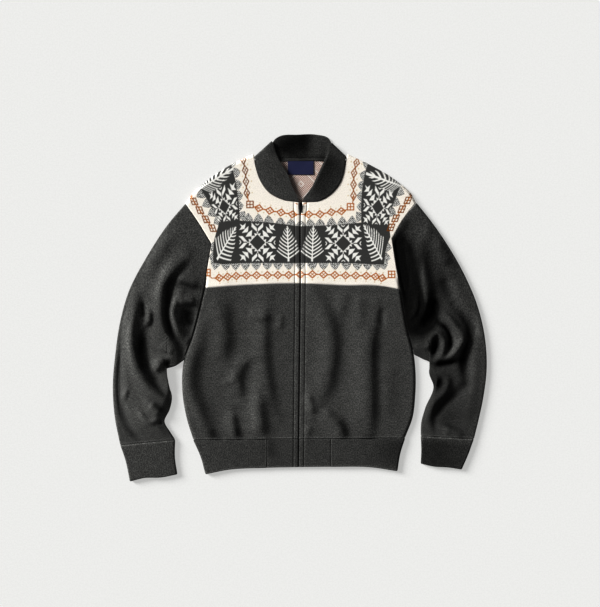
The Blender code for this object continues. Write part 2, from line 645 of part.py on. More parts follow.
def collar():
    """Doubled rib stand collar: its fronts lie folded over, its back half lies flat, inside up. The
    fronts rise in a sine of the width times a sine of the length; a half circle joins them to the back."""
    low = RIB / 2
    radius = (COLLAR_FRONT - low) / 2
    inset = radius + RIB / 2
    bend_z = low + radius * (1 + np.cos(BEND))
    v = np.linspace(0, 1, 4)
    strips, ends = [], []
    for side in ("right", "left"):
        shape = OUTLINE[side]
        neck = through(shape["neck"])
        seam = neck.part(1, COLLAR_GAP / neck.length)
        edge = through(shape["collar_edge"]).part(1, 0)
        fold = edge.xy[-1] - seam.xy[-1]
        fold /= np.linalg.norm(fold)
        outward = np.array([-fold[1], fold[0]]) * (1 if side == "right" else -1)
        q = np.linspace(0, 1, 2 * round(seam.length / RIB_PITCH))
        close = ease((q[:, None] - 0.8) / 0.2)
        seam_points = seam(q) - outward * close * (inset - 0.7)
        edge_points = edge(q) - outward * close * inset
        flat = seam_points + (edge_points - seam_points) * v[:, None, None]
        crown = COLLAR_FRONT + COLLAR_CROWN * np.sin(np.pi * v)[:, None] * np.sin(np.pi * q)
        turn = flat[:, -1:] + outward * radius * np.sin(BEND)[None, :, None]
        turning = np.dstack([turn, np.broadcast_to(bend_z, turn.shape[:2])])
        strips.append(np.concatenate([np.dstack([flat, crown]), turning], axis=1))
        ends.append((seam_points[-1], edge_points[-1], len(q)))
    share = np.linspace(0, 1, 16)
    first, last = ease(1 - share / COLLAR_BLEND), ease((share - 1) / COLLAR_BLEND + 1)
    seam_back, edge_back = [
        line(share) + np.outer(first, ends[0][k] - line.xy[0]) + np.outer(last, ends[1][k] - line.xy[-1])
        for k, line in enumerate((through(BACK_NECK), through(COLLAR_TOP)))]
    plan = seam_back + (edge_back - seam_back) * v[:, None, None]
    lying_back = np.dstack([plan, np.full(plan.shape[:2], low)])
    mid = np.concatenate([strips[0], lying_back, strips[1][:, ::-1]], axis=1)
    ribs = rib_relief(mid.shape[:2], [(0, ends[0][2]), (mid.shape[1] - ends[1][2], ends[1][2])])
    wall("collar", mid, RIB, {"bottom": Seam(gap=3 * SEAM)}, ribs, 4, cloth="rib")


def neck_label():
    """Bare woven label, sewn inside the back yoke under the collar."""
    width, height, thick = LABEL
    x, y = LABEL_AT
    corners = [(x - width / 2, y - height / 2), (x + width / 2, y - height / 2),
               (x + width / 2, y + height / 2), (x - width / 2, y + height / 2)]
    slab("neck_label", corners, thick, "label", JERSEY + SEAM)


def zip_tape(side):
    """Zip tape under a front's edge, from the neck to the foot of the hem."""
    y = np.linspace(ZIP[0].y + 1.5, ZIP[-1].y - 3, 14)
    table = np.array(ZIP)
    centre = np.interp(y, table[:, 0], table[:, 1])
    out = np.array([0.25, TAPE_WIDTH / 2, TAPE_WIDTH]) * (1 if side == "left" else -1)
    plan = np.dstack([centre[:, None] + out, np.broadcast_to(y[:, None], (len(y), len(out)))])
    mid = np.dstack([plan, np.full(plan.shape[:2], TAPE_LEVEL)])
    seams = {key: Seam(gap=0) for key in ("bottom", "top", "left", "right")}
    wall(f"zip_tape_{side}", mid, TAPE, seams, cloth="tape")


def block(name, size, centre):
    """A metal box with its size and centre in millimetres."""
    mesh = bmesh.new()
    bmesh.ops.create_cube(mesh, size=1)
    bmesh.ops.scale(mesh, vec=np.array(size) * MM, verts=mesh.verts)
    bmesh.ops.translate(mesh, vec=np.array(centre) * MM, verts=mesh.verts)
    return add(name, mesh, "metal")


def helper(piece):
    """Hides a shape that only cuts or joins another one."""
    piece.hide_render = True
    piece.display_type = "WIRE"
    return piece


def combine(piece, other, how):
    """A live Boolean of one piece with a helper shape."""
    made = piece.modifiers.new(how.title(), "BOOLEAN")
    made.operation = how
    made.object = helper(other)


def bevelled(piece, width):
    """A live two-segment bevel on a piece's sharp edges."""
    made = piece.modifiers.new("Bevel", "BEVEL")
    made.width = width * MM
    made.segments = 2
    made.limit_method = "ANGLE"


def zip_slider():
    """Zip slider: a flat body on the chain, with a square bail that holds the pull tab."""
    x, y = SLIDER_AT
    height = SLIDER[2]
    base = TAPE_LEVEL + TAPE / 2 + 0.3
    body = block("zip_slider", SLIDER, (x, y, base + height / 2))
    bevelled(body, 0.7)
    bail_width, bail_wall = BAIL
    bottom = base + height - 0.5
    top = PULL_LEVEL + BAIL_REACH + bail_wall
    outside = 2 * (BAIL_REACH + bail_wall)
    bail = block("bail", (bail_width, outside, top - bottom), (x, y, (top + bottom) / 2))
    hole = block("bail_hole", (2 * bail_width, 2 * BAIL_REACH, PULL_LEVEL + BAIL_REACH - base - height),
                 (x, y, (PULL_LEVEL + BAIL_REACH + base + height) / 2))
    combine(bail, hole, "DIFFERENCE")
    combine(body, bail, "UNION")


def pull_tab():
    """Pull tab lying down from the slider's bail, its origin on the hinge line through the bail."""
    x, y = SLIDER_AT
    _, length, thick = PULL
    pivot = bpy.data.objects.new("pull_hinge", None)
    pivot.location = np.array((x, y, PULL_LEVEL)) * MM
    bpy.context.collection.objects.link(pivot)
    tab = block("pull_tab", PULL, (0, thick / 2 - length / 2, 0))
    bar = 1.2
    room = 2 ** 0.5 * (BAIL_REACH + BAIL[1]) + 0.4 - bar / 2
    window = block("pull_window", (BAIL[0] + 0.9, room, 2 * thick), (0, thick / 2 - bar - room / 2, 0))
    combine(tab, window, "DIFFERENCE")
    bevelled(tab, 0.3)
    for piece in (tab, window):
        piece.parent = pivot


def main():
    """Clears the scene and makes every piece."""
    for old in list(bpy.data.objects):
        bpy.data.objects.remove(old)
    back_panels()
    for side in ("right", "left"):
        front_yoke(side)
        front_body(side)
        sleeve(side)
        cuff(side)
        hem_tab(side)
        zip_tape(side)
    hem_rib()
    collar()
    neck_label()
    zip_slider()
    pull_tab()


main()
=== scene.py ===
"""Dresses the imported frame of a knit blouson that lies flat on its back.

The cloth follows the same plan as the frame's solids, with many more rows: jacquard yokes, plain
jersey and doubled rib, then the zip's tapes, the stitching and the label. +Z is up, +Y runs towards the
collar and +X is the wearer's left. Tables and sizes are in millimetres; meshes are in metres.
"""
from collections import namedtuple

import bmesh
import bpy
import numpy as np
from bpy.props import FloatProperty, FloatVectorProperty, PointerProperty
from bpy.types import Operator, Panel, PropertyGroup
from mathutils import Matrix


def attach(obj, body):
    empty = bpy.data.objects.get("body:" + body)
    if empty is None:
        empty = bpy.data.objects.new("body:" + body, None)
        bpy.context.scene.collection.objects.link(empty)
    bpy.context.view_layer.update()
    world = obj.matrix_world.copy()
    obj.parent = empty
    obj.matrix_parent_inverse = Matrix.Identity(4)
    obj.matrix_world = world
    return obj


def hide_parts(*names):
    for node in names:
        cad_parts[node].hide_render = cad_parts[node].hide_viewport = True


bl_info = {
    "name": "Knit blouson",
    "version": (1, 0, 0),
    "blender": (4, 5, 0),
    "location": "3D view > Sidebar > Blouson",
    "description": "Dresses the frame of a zipped knit blouson with its cloth, zip, stitching and stage",
    "category": "Add Mesh",
}

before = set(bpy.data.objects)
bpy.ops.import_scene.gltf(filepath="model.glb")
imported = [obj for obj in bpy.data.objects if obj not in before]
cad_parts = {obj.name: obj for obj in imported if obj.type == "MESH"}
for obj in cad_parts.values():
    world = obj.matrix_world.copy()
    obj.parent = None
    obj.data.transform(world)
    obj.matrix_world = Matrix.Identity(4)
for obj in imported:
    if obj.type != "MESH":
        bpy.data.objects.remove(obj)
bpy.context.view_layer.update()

MM = 0.001
LIGHT_TILT = 67         # the window light's angle from straight above
LIGHT_TURN = 28         # how far it comes from above the photograph's left side
PRINT_GAMMA = 0.72      # the photograph's darks are deeper than the eye sees them
LIGHT_SPREAD = 24       # the angle that the window fills, which softens its shadows
FLOOR_REACH = 4000
FLOOR_LEVEL = -0.3
CAMERA_HEIGHT = 3000
CAMERA_AT = (0.5, 9.4)
SENSOR = 36
FOCUS_LEVEL = 8         # height of the cloth that the frame is measured at
FRAME_SIDE = 1244.35    # what the photograph's longer side covers
SIDES = ("right", "left")

# Cloth
JERSEY = 2.6            # wall of the plain and jacquard knit
RIB = 3.4               # wall of the doubled rib
SEAM = 0.4              # space between two pieces where they are sewn
CORNER_SEAM = 1.0       # the same for a sleeve's end, which turns the armhole's corner
ROLL = 6.0              # radius with which a front rolls down at the side and the shoulder
BACK_INSET = 5.6        # how far inside the outline the back ends

# Layers, as heights of a wall's middle over the surface
FRONT = 7.2
HEM_FRONT = 6.9
SLEEVE_EDGE = 6.6
SLEEVE_LOFT = 5.2
CUFF_LOFT = 0.9
COLLAR_FRONT = 8.2
COLLAR_CROWN = 1.0

# Zip
WELT = 9.8              # from the zip to the stitching that holds the turned edge
STITCH_DIP = 1.1        # how deep that stitching lies
STITCH_SPREAD = 1.1     # how far its dip spreads
TURN_DROP = 1.1         # how far a front's edge sinks where it turns in
TURN_WIDTH = 1.8        # how far from the edge that starts
TAPE = 1.0              # wall of a tape
TAPE_WIDTH = 11.0
TAPE_APART = 0.25       # from the zip's middle line to a tape
TAPE_ENDS = (1.5, 3.0)  # how far short of the zip's foot and top a tape stops
TAPE_LEVEL = 4.4

# Label and turned-in edges
LABEL = (53.0, 30.0, 0.8)       # width, height and thickness
LABEL_AT = (2.0, 289.0)         # its middle
LABEL_RIPPLE = 0.25
LABEL_WAVES = (9, 13)           # a wave's length across and up the label, over 2 pi
LABEL_EDGE = [0, 0.5, 1.2]      # rows beside its edges
LABEL_GRID = (59, 31)           # and the columns and rows between them
ALLOWANCE = 1.6         # wall of the edges turned in under the armhole and neck seams
ALLOWANCE_LEVEL = 3.6
ARMHOLE_EDGE = (-3.2, 3.2)      # from a seam to the two sides of what lies under it
NECK_EDGE = (-4.0, 1.5)
CHAIN_STITCH = (-2.4, -1.9)
CHAIN_THREAD = 0.5

# A tube beside its folds
LOFT_REACH = 26         # the run over which its loft comes in
LOFT_START = 0.12       # the part of that run which it has at the fold itself
CREASE_REACH = 7        # the run over which its creases come in
UNDERSIDE = 33          # columns on its flat underside

# Collar
CLOSING = 0.8           # share of a front's length past which it draws in to make room for its fold
FLATTER = 0.6           # how high the ribs stand round the back of the neck, as a share
MEETING = 14            # the back's lines run into the fronts' within one part in this many
BACK_COLUMNS = 181      # the most columns that the back half gets

# How cloth sinks and pales beside a seam, and the painted shade and highlights in its creases
BRIGHTEST = -0.7        # the most that a lit ridge is lightened
UPPER = 0.9             # only points higher than this share of a wall's thickness are shaded
CORNER_SINK = 0.9       # how far a sewn edge's outer corner sinks
THREAD_SHOWS = 0.85     # how much paler the overlock thread is
THREAD_IN = 1.9         # its distance from the seam
THREAD_SPREAD = 1.2     # how far its paleness spreads

# Rough lengths of pieces from their foot up, which set how many rows they get
FRONT_LONG = 316
HEM_LONG = 60
TAB_LONG = 59
COLLAR_LONG = 62

# Where the zip crosses the hem band's seam, the band's foot and the yoke seam
HEM_AT_ZIP = -267
FOOT_AT_ZIP = -326
YOKE_AT_ZIP = 50

# The outline and seams, as points of smooth lines. "right" is the wearer's right, at -X.
OUTLINE = {
    "right": dict(
        shoulder=[(-234.2, 214.4), (-225, 229.4), (-201.2, 253.2), (-136.8, 297.5), (-95.8, 316.5)],
        neck=[(-95.8, 316.5), (-91.1, 291.3), (-80.1, 260.6), (-59.8, 234.9), (-34.7, 222.4), (-1.4, 217.7)],
        armhole=[(-196.3, 41.2), (-189, 88), (-181.2, 132), (-205, 171), (-234.2, 214.4)],
        side=[(-218.9, -270), (-233.2, -223.2), (-241.8, -163.2), (-238.6, -110), (-220.9, -57.2),
              (-196.3, 41.2)],
        sleeve_outer=[(-234.2, 214.4), (-266, 177.5), (-314.2, 104.8), (-350.7, 35.1), (-368.9, -28.5),
                      (-378.7, -94.1), (-383.9, -159.7), (-379.8, -223.2), (-368.5, -280.6)],
        sleeve_inner=[(-254.5, -118), (-278.5, -128), (-272.5, -156), (-263.3, -183.5),
                      (-267.4, -207.9), (-278.0, -233.5), (-265.4, -256), (-255.7, -270)],
        cuff_seam=[(-368.5, -280.6), (-312, -275.2), (-255.7, -270)],
        cuff_outer=[(-368.5, -280.6), (-357.5, -313), (-348.6, -355.9)],
        cuff_inner=[(-255.7, -270), (-256.4, -305), (-251.2, -341.1)],
        cuff_edge=[(-348.6, -355.9), (-318, -348.5), (-285, -347.5), (-251.2, -341.1)],
        hem_tab_top=(-67.1, -268.5),
        hem_tab_foot=(-68.2, -327.8),
        collar_edge=[(-58.1, 342.5), (-48.7, 318), (-39.3, 297.5), (-25.3, 275.7), (-15.9, 250.3),
                     (-3.6, 224.4)],
        underarm=-106.0,
    ),
    "left": dict(
        shoulder=[(239.1, 216.5), (230.5, 232.7), (196.5, 263.2), (138.7, 297.5), (98.7, 316.5)],
        neck=[(98.7, 316.5), (93.5, 291), (83.8, 258), (65.7, 234.9), (43.6, 221), (5.4, 217.7)],
        armhole=[(207, 38), (197.6, 88), (189, 142), (211, 180), (239.1, 216.5)],
        side=[(216.5, -266), (232.4, -223.2), (237.3, -183.3), (234.8, -98), (220.5, -40), (207, 38)],
        sleeve_outer=[(239.1, 216.5), (273.2, 173.4), (306, 125.3), (338.4, 67.9), (362.7, 11.3),
                      (376.9, -40.8), (383.9, -123), (376.9, -183.3), (366.6, -231.5), (357.5, -268)],
        sleeve_inner=[(252.7, -104.3), (268.5, -112.5), (266.8, -134), (275.5, -161),
                      (257.4, -208), (249.5, -236), (248.4, -262)],
        cuff_seam=[(357.5, -268), (303, -265), (248.4, -262)],
        cuff_outer=[(357.5, -268), (345.5, -301), (332.2, -331.3)],
        cuff_inner=[(248.4, -262), (249.6, -290), (248.4, -319.2)],
        cuff_edge=[(332.2, -331.3), (305, -327), (275, -325), (248.4, -319.2)],
        hem_tab_top=(64.1, -267),
        hem_tab_foot=(64.1, -325.7),
        collar_edge=[(66.2, 339), (57.5, 318), (47, 295), (36, 272), (26, 250), (7.6, 224.4)],
        underarm=-95.0,
    ),
}
YOKE_SEAM = [(-196.3, 41.2), (-99.9, 47.8), (0, 50.4), (92.4, 46.5), (163, 45.5), (207, 38)]
HEM_SEAM = [(-218.9, -270), (-67.1, -268.6), (64.1, -267.4), (216.5, -266)]
HEM_EDGE = [(-193.6, -341.1), (-147.1, -331.9), (-68.2, -327.8), (0, -326.4), (64.1, -325.7),
            (147.3, -326.8), (200.4, -334.6)]
HEM_SIDE = {"right": [(-218.9, -270), (-203.5, -305), (-193.6, -341.1)],
            "left": [(216.5, -266), (206.5, -298), (200.4, -334.6)]}
BACK_NECK = [(-93, 301.5), (-39.3, 305), (4, 306), (51.6, 306), (96, 302)]
COLLAR_TOP = [(-58.1, 342.5), (-39.5, 353.4), (-4.8, 355.9), (34.3, 355.9), (57.9, 349.5), (66.2, 339)]

# The zip line: height up the front, where it lies, and half the space between the two front edges
ZIP = np.array([(-326.6, -2.3, 1.0), (-180, -1, 1.0), (50.4, 1.5, 1.0), (150, 1, 1.0), (190, 1.1, 1.3),
                (204, 1.9, 3.5), (217.7, 2, 3.4)])

# Creases of the cloth, in four columns: how far a ridge or trough spreads to the left of its line and to
# the right, its height (a trough's is negative), and the line, which runs away from the hem or the cuff
FRONT_CREASES = [
    (26, 15, 5.8, [(-148, -118), (-157, -92), (-152, -60), (-154, -20), (-158, 34)]),
    (14, 17, 6.2, [(-179, -268), (-194, -238), (-211, -198), (-224, -163), (-223, -119), (-209, -72),
                   (-198, -35)]),
    (14, 9, 4.2, [(-110, -10), (-88, -18), (-58, -14)]),
    (20, 14, 5.4, [(-48, -228), (-60, -186), (-68, -147), (-74, -100), (-74, -40), (-72, -9), (-68, 34)]),
    (18, 11, 5.4, [(-118, -188), (-124, -168), (-126, -143), (-118, -117), (-94, -98)]),
    (24, 14, 6.8, [(-78, -268), (-84, -218), (-88, -172)]),
    (14, 9, 6.0, [(-129, -268), (-136, -240), (-141, -208)]),
    (10, 7, 2.6, [(-42, -46), (-38, -12)]),
    (8, 8, 2.6, [(-165, -152), (-138, -148), (-130, -120)]),
    (26, 15, 7.0, [(34, -196), (53, -163), (63, -119), (67, -80), (63, -40), (47, 0), (31, 34)]),
    (16, 12, 6.4, [(88, -270), (82, -246), (63, -225), (42, -204)]),
    (16, 12, 3.0, [(82, -20), (92, 34)]),
    (18, 14, 3.2, [(120, -50), (121, 34)]),
    (34, 13, 8.6, [(142, -270), (144, -218), (144, -139), (144, -80), (149, -44), (159, -6)]),
    (8, 8, -3.0, [(167, -40), (169, 5)]),
    (9, 8, 4.3, [(27, -220), (17, -172)]),
    (26, 20, 3.6, [(176, -230), (178, -100)]),
    (12, 10, 3.0, [(14, -262), (18, -240)]),
]
SLEEVE_CREASES = {
    "right": [
        (22, 9, 10.1, [(-250, -98), (-258, -75), (-275, -50), (-283, -20), (-284, 10), (-280, 38),
                       (-268, 62), (-255, 82), (-232, 106)]),
        (8, 10, -7.6, [(-243, -95), (-248, -76), (-264, -48), (-270, -20), (-270, 11), (-266, 46),
                       (-254, 66), (-232, 86)]),
        (9, 9, 7.6, [(-232, -66), (-243, -58), (-255, -36), (-262, -10), (-254, 12), (-243, 34)]),
        (12, 14, -11.0, [(-228, -40), (-232, -16), (-228, -2)]),
        (12, 5, 6.8, [(-250, 10), (-232, 12), (-212, 10)]),
        (12, 8, 5.1, [(-258, 62), (-232, 54), (-204, 46)]),
        (6, 5, 5.9, [(-322, -38), (-309, -30), (-307, -14), (-311, 2)]),
        (7, 7, -5.9, [(-320, -25), (-321, 18)]),
        (18, 10, 11.0, [(-280, -184), (-299, -166), (-317, -144), (-331, -115), (-341, -80), (-343, -40),
                        (-341, -2), (-338, 25)]),
        (12, 14, -9.2, [(-274, -178), (-296, -152), (-312, -125), (-320, -95), (-322, -65), (-318, -42)]),
        (8, 12, -5.1, [(-322, -283), (-334, -268), (-350, -247), (-362, -217), (-369, -186), (-373, -150),
                       (-372, -100), (-368, -50)]),
        (14, 8, 7.6, [(-300, -128), (-288, -118), (-284, -106)]),
        (6, 6, -5.9, [(-281, -113), (-262, -113)]),
        (9, 6, 4.4, [(-290, -76), (-272, -86), (-255, -92)]),
        (10, 7, 5.9, [(-280, -217), (-294, -207), (-309, -195)]),
        (7, 5, 4.0, [(-286, -229), (-309, -232), (-331, -210)]),
        (5, 5, -4.2, [(-292, -236), (-280, -232)]),
        (7, 5, 3.4, [(-362, -192), (-353, -164)]),
        (14, 16, 4.2, [(-318, 70), (-296, 108), (-272, 150)]),
    ],
    "left": [
        (16, 12, -7.6, [(222, 20), (216, 60), (208, 100), (206, 140), (222, 165)]),
        (12, 11, 7.0, [(240, -38), (254, -18), (263, 12), (262, 40), (254, 72), (247, 97), (252, 137),
                       (262, 160)]),
        (12, 16, -10.1, [(246, -42), (262, -26), (272, -6), (270, 24)]),
        (5, 5, 4.2, [(226, -24), (238, -4), (240, 28)]),
        (16, 14, 5.1, [(308, 84), (296, 104), (280, 145)]),
        (12, 14, -5.1, [(316, 15), (303, 34), (296, 66)]),
        (10, 12, -9.2, [(342, -158), (340, -135), (337, -103), (346, -68), (350, -40), (338, -20),
                        (316, 6)]),
        (9, 10, -5.1, [(284, -262), (277, -225), (297, -196), (324, -172), (342, -156)]),
        (9, 7, 10.1, [(284, -112), (303, -104), (325, -82), (335, -62), (322, -42), (303, -18), (282, 2)]),
        (6, 6, -7.6, [(300, -90), (310, -64), (303, -44), (284, -28)]),
        (7, 6, 8.5, [(243, -78), (262, -78), (270, -60), (281, -52), (293, -64), (294, -88), (282, -108)]),
        (5, 6, -6.8, [(274, -98), (279, -64)]),
        (6, 7, -5.9, [(272, -116), (300, -112), (324, -108)]),
        (6, 6, -6.8, [(284, -164), (289, -146)]),
        (8, 7, 5.9, [(262, -226), (276, -192), (296, -172), (302, -146), (292, -134)]),
        (9, 6, 4.8, [(338, -264), (315, -254), (290, -246)]),
    ],
}

# Painted shade where the real folds are deeper than the cloth lies here, and so hide more light, in the same
# columns: the third is how dark the painted shade makes the cloth, from 0 to 1, and is negative for a painted
# highlight on ridges that catch the light
FRONT_PAINTED_SHADING = [
    (12, 14, 0.5, [(-141, -120), (-147, -80), (-149, -40), (-158, 0), (-170, 36)]),
    (12, 14, 0.5, [(-171, -269), (-186, -238), (-202, -198), (-214, -163), (-214, -119), (-200, -72),
                   (-190, -37)]),
    (14, 10, 0.57, [(-173, -271), (-183, -245)]),
    (8, 8, 0.57, [(-123, -270), (-130, -240)]),
    (12, 14, 0.48, [(-64, -272), (-70, -218), (-76, -170)]),
    (11, 11, -0.4, [(-93, -262), (-94, -210), (-96, -150)]),
    (8, 8, 0.33, [(-112, -186), (-118, -165), (-119, -143), (-111, -119)]),
    (9, 10, 0.4, [(-40, -226), (-52, -186), (-60, -147), (-64, -100), (-66, -30)]),
    (12, 14, 0.33, [(38, -194), (60, -163), (70, -119), (74, -80), (70, -40), (54, -1), (38, 34)]),
    (9, 10, 0.65, [(98, -276), (91, -248), (77, -222)]),
    (15, 12, 0.47, [(148, -270), (150, -218), (150, -139), (150, -80), (156, -44), (166, -9)]),
    (24, 14, 0.38, [(142, -270), (143, -255)]),
    (1.6, 1.6, -0.4, [(-148, -58), (-104, -57), (-60, -56)]),
    (1.6, 1.6, -0.3, [(128, -57), (172, -58)]),
]
SLEEVE_PAINTED_SHADING = {
    "right": [
        (8, 9, 0.8, [(-245, -96), (-248, -76), (-264, -48), (-272, -20), (-272, 11), (-269, 46),
                     (-258, 66), (-234, 86)]),
        (14, 14, 1.0, [(-224, -42), (-231, -18), (-224, 2)]),
        (8, 8, 0.6, [(-256, 56), (-230, 48), (-203, 40)]),
        (5, 5, 0.7, [(-318, -36), (-305, -26), (-304, -6)]),
        (6, 6, 0.7, [(-320, -25), (-321, 18)]),
        (12, 10, 0.9, [(-308, -144), (-320, -123), (-326, -95), (-325, -65), (-322, -38)]),
        (6, 6, 0.7, [(-271, -188), (-288, -170), (-308, -146)]),
        (8, 8, 0.8, [(-277, -212), (-290, -202), (-302, -190)]),
        (6, 6, 0.6, [(-324, -281), (-334, -268), (-350, -248), (-362, -217), (-370, -186)]),
        (7, 6, 0.8, [(-282, -114), (-264, -115)]),
        (30, 40, -0.5, [(-325, -130), (-325, -190), (-318, -262)]),
        (7, 5, -0.6, [(-340, -135), (-349, -90), (-348, -40), (-338, -5)]),
        (7, 5, -0.6, [(-293, -5), (-291, 33), (-275, 80), (-250, 112)]),
        (5, 5, -0.5, [(-245, -50), (-260, -25), (-264, 5), (-250, 25)]),
        (12, 10, -0.5, [(-300, -118), (-275, -100), (-250, -92)]),
    ],
    "left": [
        (60, 60, 0.75, [(262, -120), (250, -40), (246, 60), (244, 190)]),
        (50, 60, 0.55, [(300, -110), (290, -200), (300, -260)]),
        (22, 22, 1.2, [(236, -30), (224, 20), (214, 60), (206, 100), (206, 140), (216, 168)]),
        (14, 12, 0.8, [(216, 20), (218, -20), (222, -52)]),
        (15, 17, 0.9, [(250, -46), (262, -26), (270, -6), (266, 24)]),
        (10, 10, 0.6, [(226, -10), (236, 10)]),
        (10, 10, 0.3, [(318, 15), (303, 34), (296, 66)]),
        (5, 5, -0.5, [(250, -30), (258, 5), (252, 60), (254, 110), (262, 150)]),
        (6, 6, -0.15, [(282, -108), (306, -98), (318, -72), (296, -30), (274, 5)]),
        (40, 30, -0.2, [(345, 20), (366, -60), (372, -140), (360, -220)]),
        (12, 11, 0.9, [(342, -156), (339, -135), (336, -103), (344, -68), (347, -40), (336, -20),
                       (316, 4)]),
        (11, 11, 0.2, [(284, -262), (276, -225), (295, -194), (322, -171), (341, -154)]),
        (6, 6, 0.8, [(299, -89), (309, -64), (303, -44), (284, -29)]),
        (6, 6, 0.9, [(273, -99), (277, -64)]),
        (8, 8, 0.8, [(271, -115), (300, -112), (326, -108)]),
        (5, 5, 0.8, [(284, -163), (289, -147)]),
        (7, 7, 0.4, [(342, -257), (318, -247), (294, -237)]),
    ],
}
# Painted shade on the rib pieces, the hem tabs and the neck's turned-in edge, and a painted highlight along
# the collar's lit inner edge
RIB_PAINTED_SHADING = [
    (80, 90, 0.58, [(300, -258), (290, -340)]),
    (90, 60, 0.36, [(190, -256), (185, -340)]),
    (24, 60, 0.72, [(10, 222), (30, 250), (52, 290), (70, 330)]),
    (34, 60, 1.0, [(-44, 300), (-30, 330), (0, 345), (40, 345)]),
    (60, 60, 0.22, [(-210, -300), (160, -300)]),
    (12, 16, 0.3, [(-62, -262), (-52, -312)]),
    (2.2, 2.6, -0.9, [(61, 344), (56, 314), (38, 273), (17, 227)]),
]
# Painted shade where the right side of the collar shades the back yoke's inside
NECK_PAINTED_SHADE = [
    (6, 10, 0.6, [(-40, 306), (-26, 286), (-10, 252), (4, 226)]),
]


class Line:
    """A plan line read by its share of length, from 0 to 1."""

    def __init__(self, xy):
        self.xy = xy
        steps = np.linalg.norm(np.diff(xy, axis=0), axis=1)
        self.length = steps.sum()
        self.share = np.append(0, np.cumsum(steps)) / self.length

    def __call__(self, share):
        return np.stack([np.interp(share, self.share, self.xy[:, k]) for k in (0, 1)], axis=-1)

    def part(self, low, high, count=121):
        """The stretch between two shares of the length, run from the first to the second."""
        return Line(self(np.linspace(low, high, count)))

    def share_at(self, axis, value):
        """The share of length where the line's x (axis 0) or y (axis 1) has a value."""
        order = np.argsort(self.xy[:, axis])
        return float(np.interp(value, self.xy[order, axis], self.share[order]))


def through(points):
    """A smooth line through points: on each stretch a cubic, with slopes from the neighbouring points."""
    p = np.array(points, float)
    t = np.append(0, np.cumsum(np.linalg.norm(np.diff(p, axis=0), axis=1)))
    slope = np.gradient(p, t, axis=0)
    at = np.linspace(0, t[-1], 241)
    i = np.clip(np.searchsorted(t, at, side="right") - 1, 0, len(t) - 2)
    h = (t[i + 1] - t[i])[:, None]
    s = (at - t[i])[:, None] / h
    return Line((2 * s**3 - 3 * s**2 + 1) * p[i] + (s**3 - 2 * s**2 + s) * h * slope[i]
                + (3 * s**2 - 2 * s**3) * p[i + 1] + (s**3 - s**2) * h * slope[i + 1])


def join(*lines):
    """One line from several that run on from each other, keeping the corners between them."""
    return Line(np.concatenate([lines[0].xy] + [line.xy[1:] for line in lines[1:]]))


def armhole(side):
    """The armhole from the yoke seam up to the shoulder, with its corner at the height of the chest."""
    points = OUTLINE[side]["armhole"]
    return join(through(points[:3]), through(points[2:]))


def zip_x(side, y):
    """Where a front's edge lies beside the zip: the zip line's x, plus or minus half the gap there."""
    gap = np.interp(y, ZIP[:, 0], ZIP[:, 2])
    return np.interp(y, ZIP[:, 0], ZIP[:, 1]) + (gap if side == "left" else -gap)


def zip_edge(side, low, high):
    """A front's edge beside the zip, between two heights up the front."""
    y = np.linspace(low, high, 121)
    return Line(np.stack([zip_x(side, y), y], axis=-1))


def patch(edges, u, v):
    """Coons patch of four edge lines: what the left and right ones give, plus what the bottom and top
    ones give, less the straight blend of the four corners. u runs left to right, v bottom to top."""
    left, right, bottom, top = edges
    a, b = u[..., None], v[..., None]
    between_ends = (1 - b) * bottom(u) + b * top(u) + (1 - a) * left(v) + a * right(v)
    zero, one = np.zeros(1), np.ones(1)
    corners = ((1 - a) * (1 - b) * bottom(zero) + a * (1 - b) * bottom(one)
               + (1 - a) * b * top(zero) + a * b * top(one))
    return between_ends - corners


def row_tangents(edges, share, v):
    """Plan tangents of the patch's row at v, at shares of its length."""
    step = 1e-3
    at = np.full(share.shape, v)
    return patch(edges, share + step, at) - patch(edges, share - step, at)


def lengths(edges, fixed, along):
    """Length of the patch's lines, across at each v (along = 0) or up at each u (along = 1)."""
    run, held = np.meshgrid(np.linspace(0, 1, 61), fixed)
    points = patch(edges, run, held) if along == 0 else patch(edges, held, run)
    return np.linalg.norm(np.diff(points, axis=1), axis=2).sum(axis=1)


def stations(length, starts, ends, count):
    """Distances along lines of the given lengths: set ones at both ends, even ones between."""
    length = np.asarray(length, float)[:, None]
    starts, ends = (np.atleast_2d(np.array(end, float)) for end in (starts, ends))
    first = np.broadcast_to(starts, (len(length), starts.shape[1]))
    last = length - ends[:, ::-1]
    inner = np.linspace(0, 1, count + 2)[1:-1]
    middle = first[:, -1:] + (last[:, :1] - first[:, -1:]) * inner
    return np.concatenate([first, middle, last], axis=1)


def fitted(length, cell, ends):
    """How many even columns of about one cell fit, so that all columns less one divide by STEP."""
    wanted = round(length / cell)
    return wanted + (1 - ends - wanted) % STEP


def ease(x):
    """0 below 0, 1 above 1, and between them 3x² − 2x³."""
    x = np.clip(x, 0, 1)
    return x * x * (3 - 2 * x)


def creased(points, creases):
    """Height that the creases give at plan points: for each, its height times a bell of the distance
    to its line, wider on one side than on the other, and tapered over the last 0.3 at both ends."""
    height = np.zeros(points.shape[:-1])
    share = np.linspace(0, 1, 41)
    for left, right, rise, way in creases:
        line = through(way)(share)
        run = np.gradient(line, axis=0)
        reach = 3 * max(left, right)
        near = np.all((points > line.min(axis=0) - reach) & (points < line.max(axis=0) + reach), axis=-1)
        if not near.any():
            continue
        away = points[near][:, None, :] - line
        nearest = np.argmin((away ** 2).sum(axis=-1), axis=-1)
        away = away[np.arange(len(nearest)), nearest]
        side = run[nearest, 0] * away[:, 1] - run[nearest, 1] * away[:, 0]
        turn = side / np.maximum(np.linalg.norm(run[nearest], axis=-1) * np.linalg.norm(away, axis=-1), 1e-9)
        width = right + (left - right) * (0.5 + 0.5 * turn)
        to_end = np.minimum(share[nearest], 1 - share[nearest])
        fade = 0.3 + 0.7 * ease(to_end / 0.3)
        height[near] += rise * fade * np.exp(-(away ** 2).sum(axis=-1) / width ** 2)
    return height


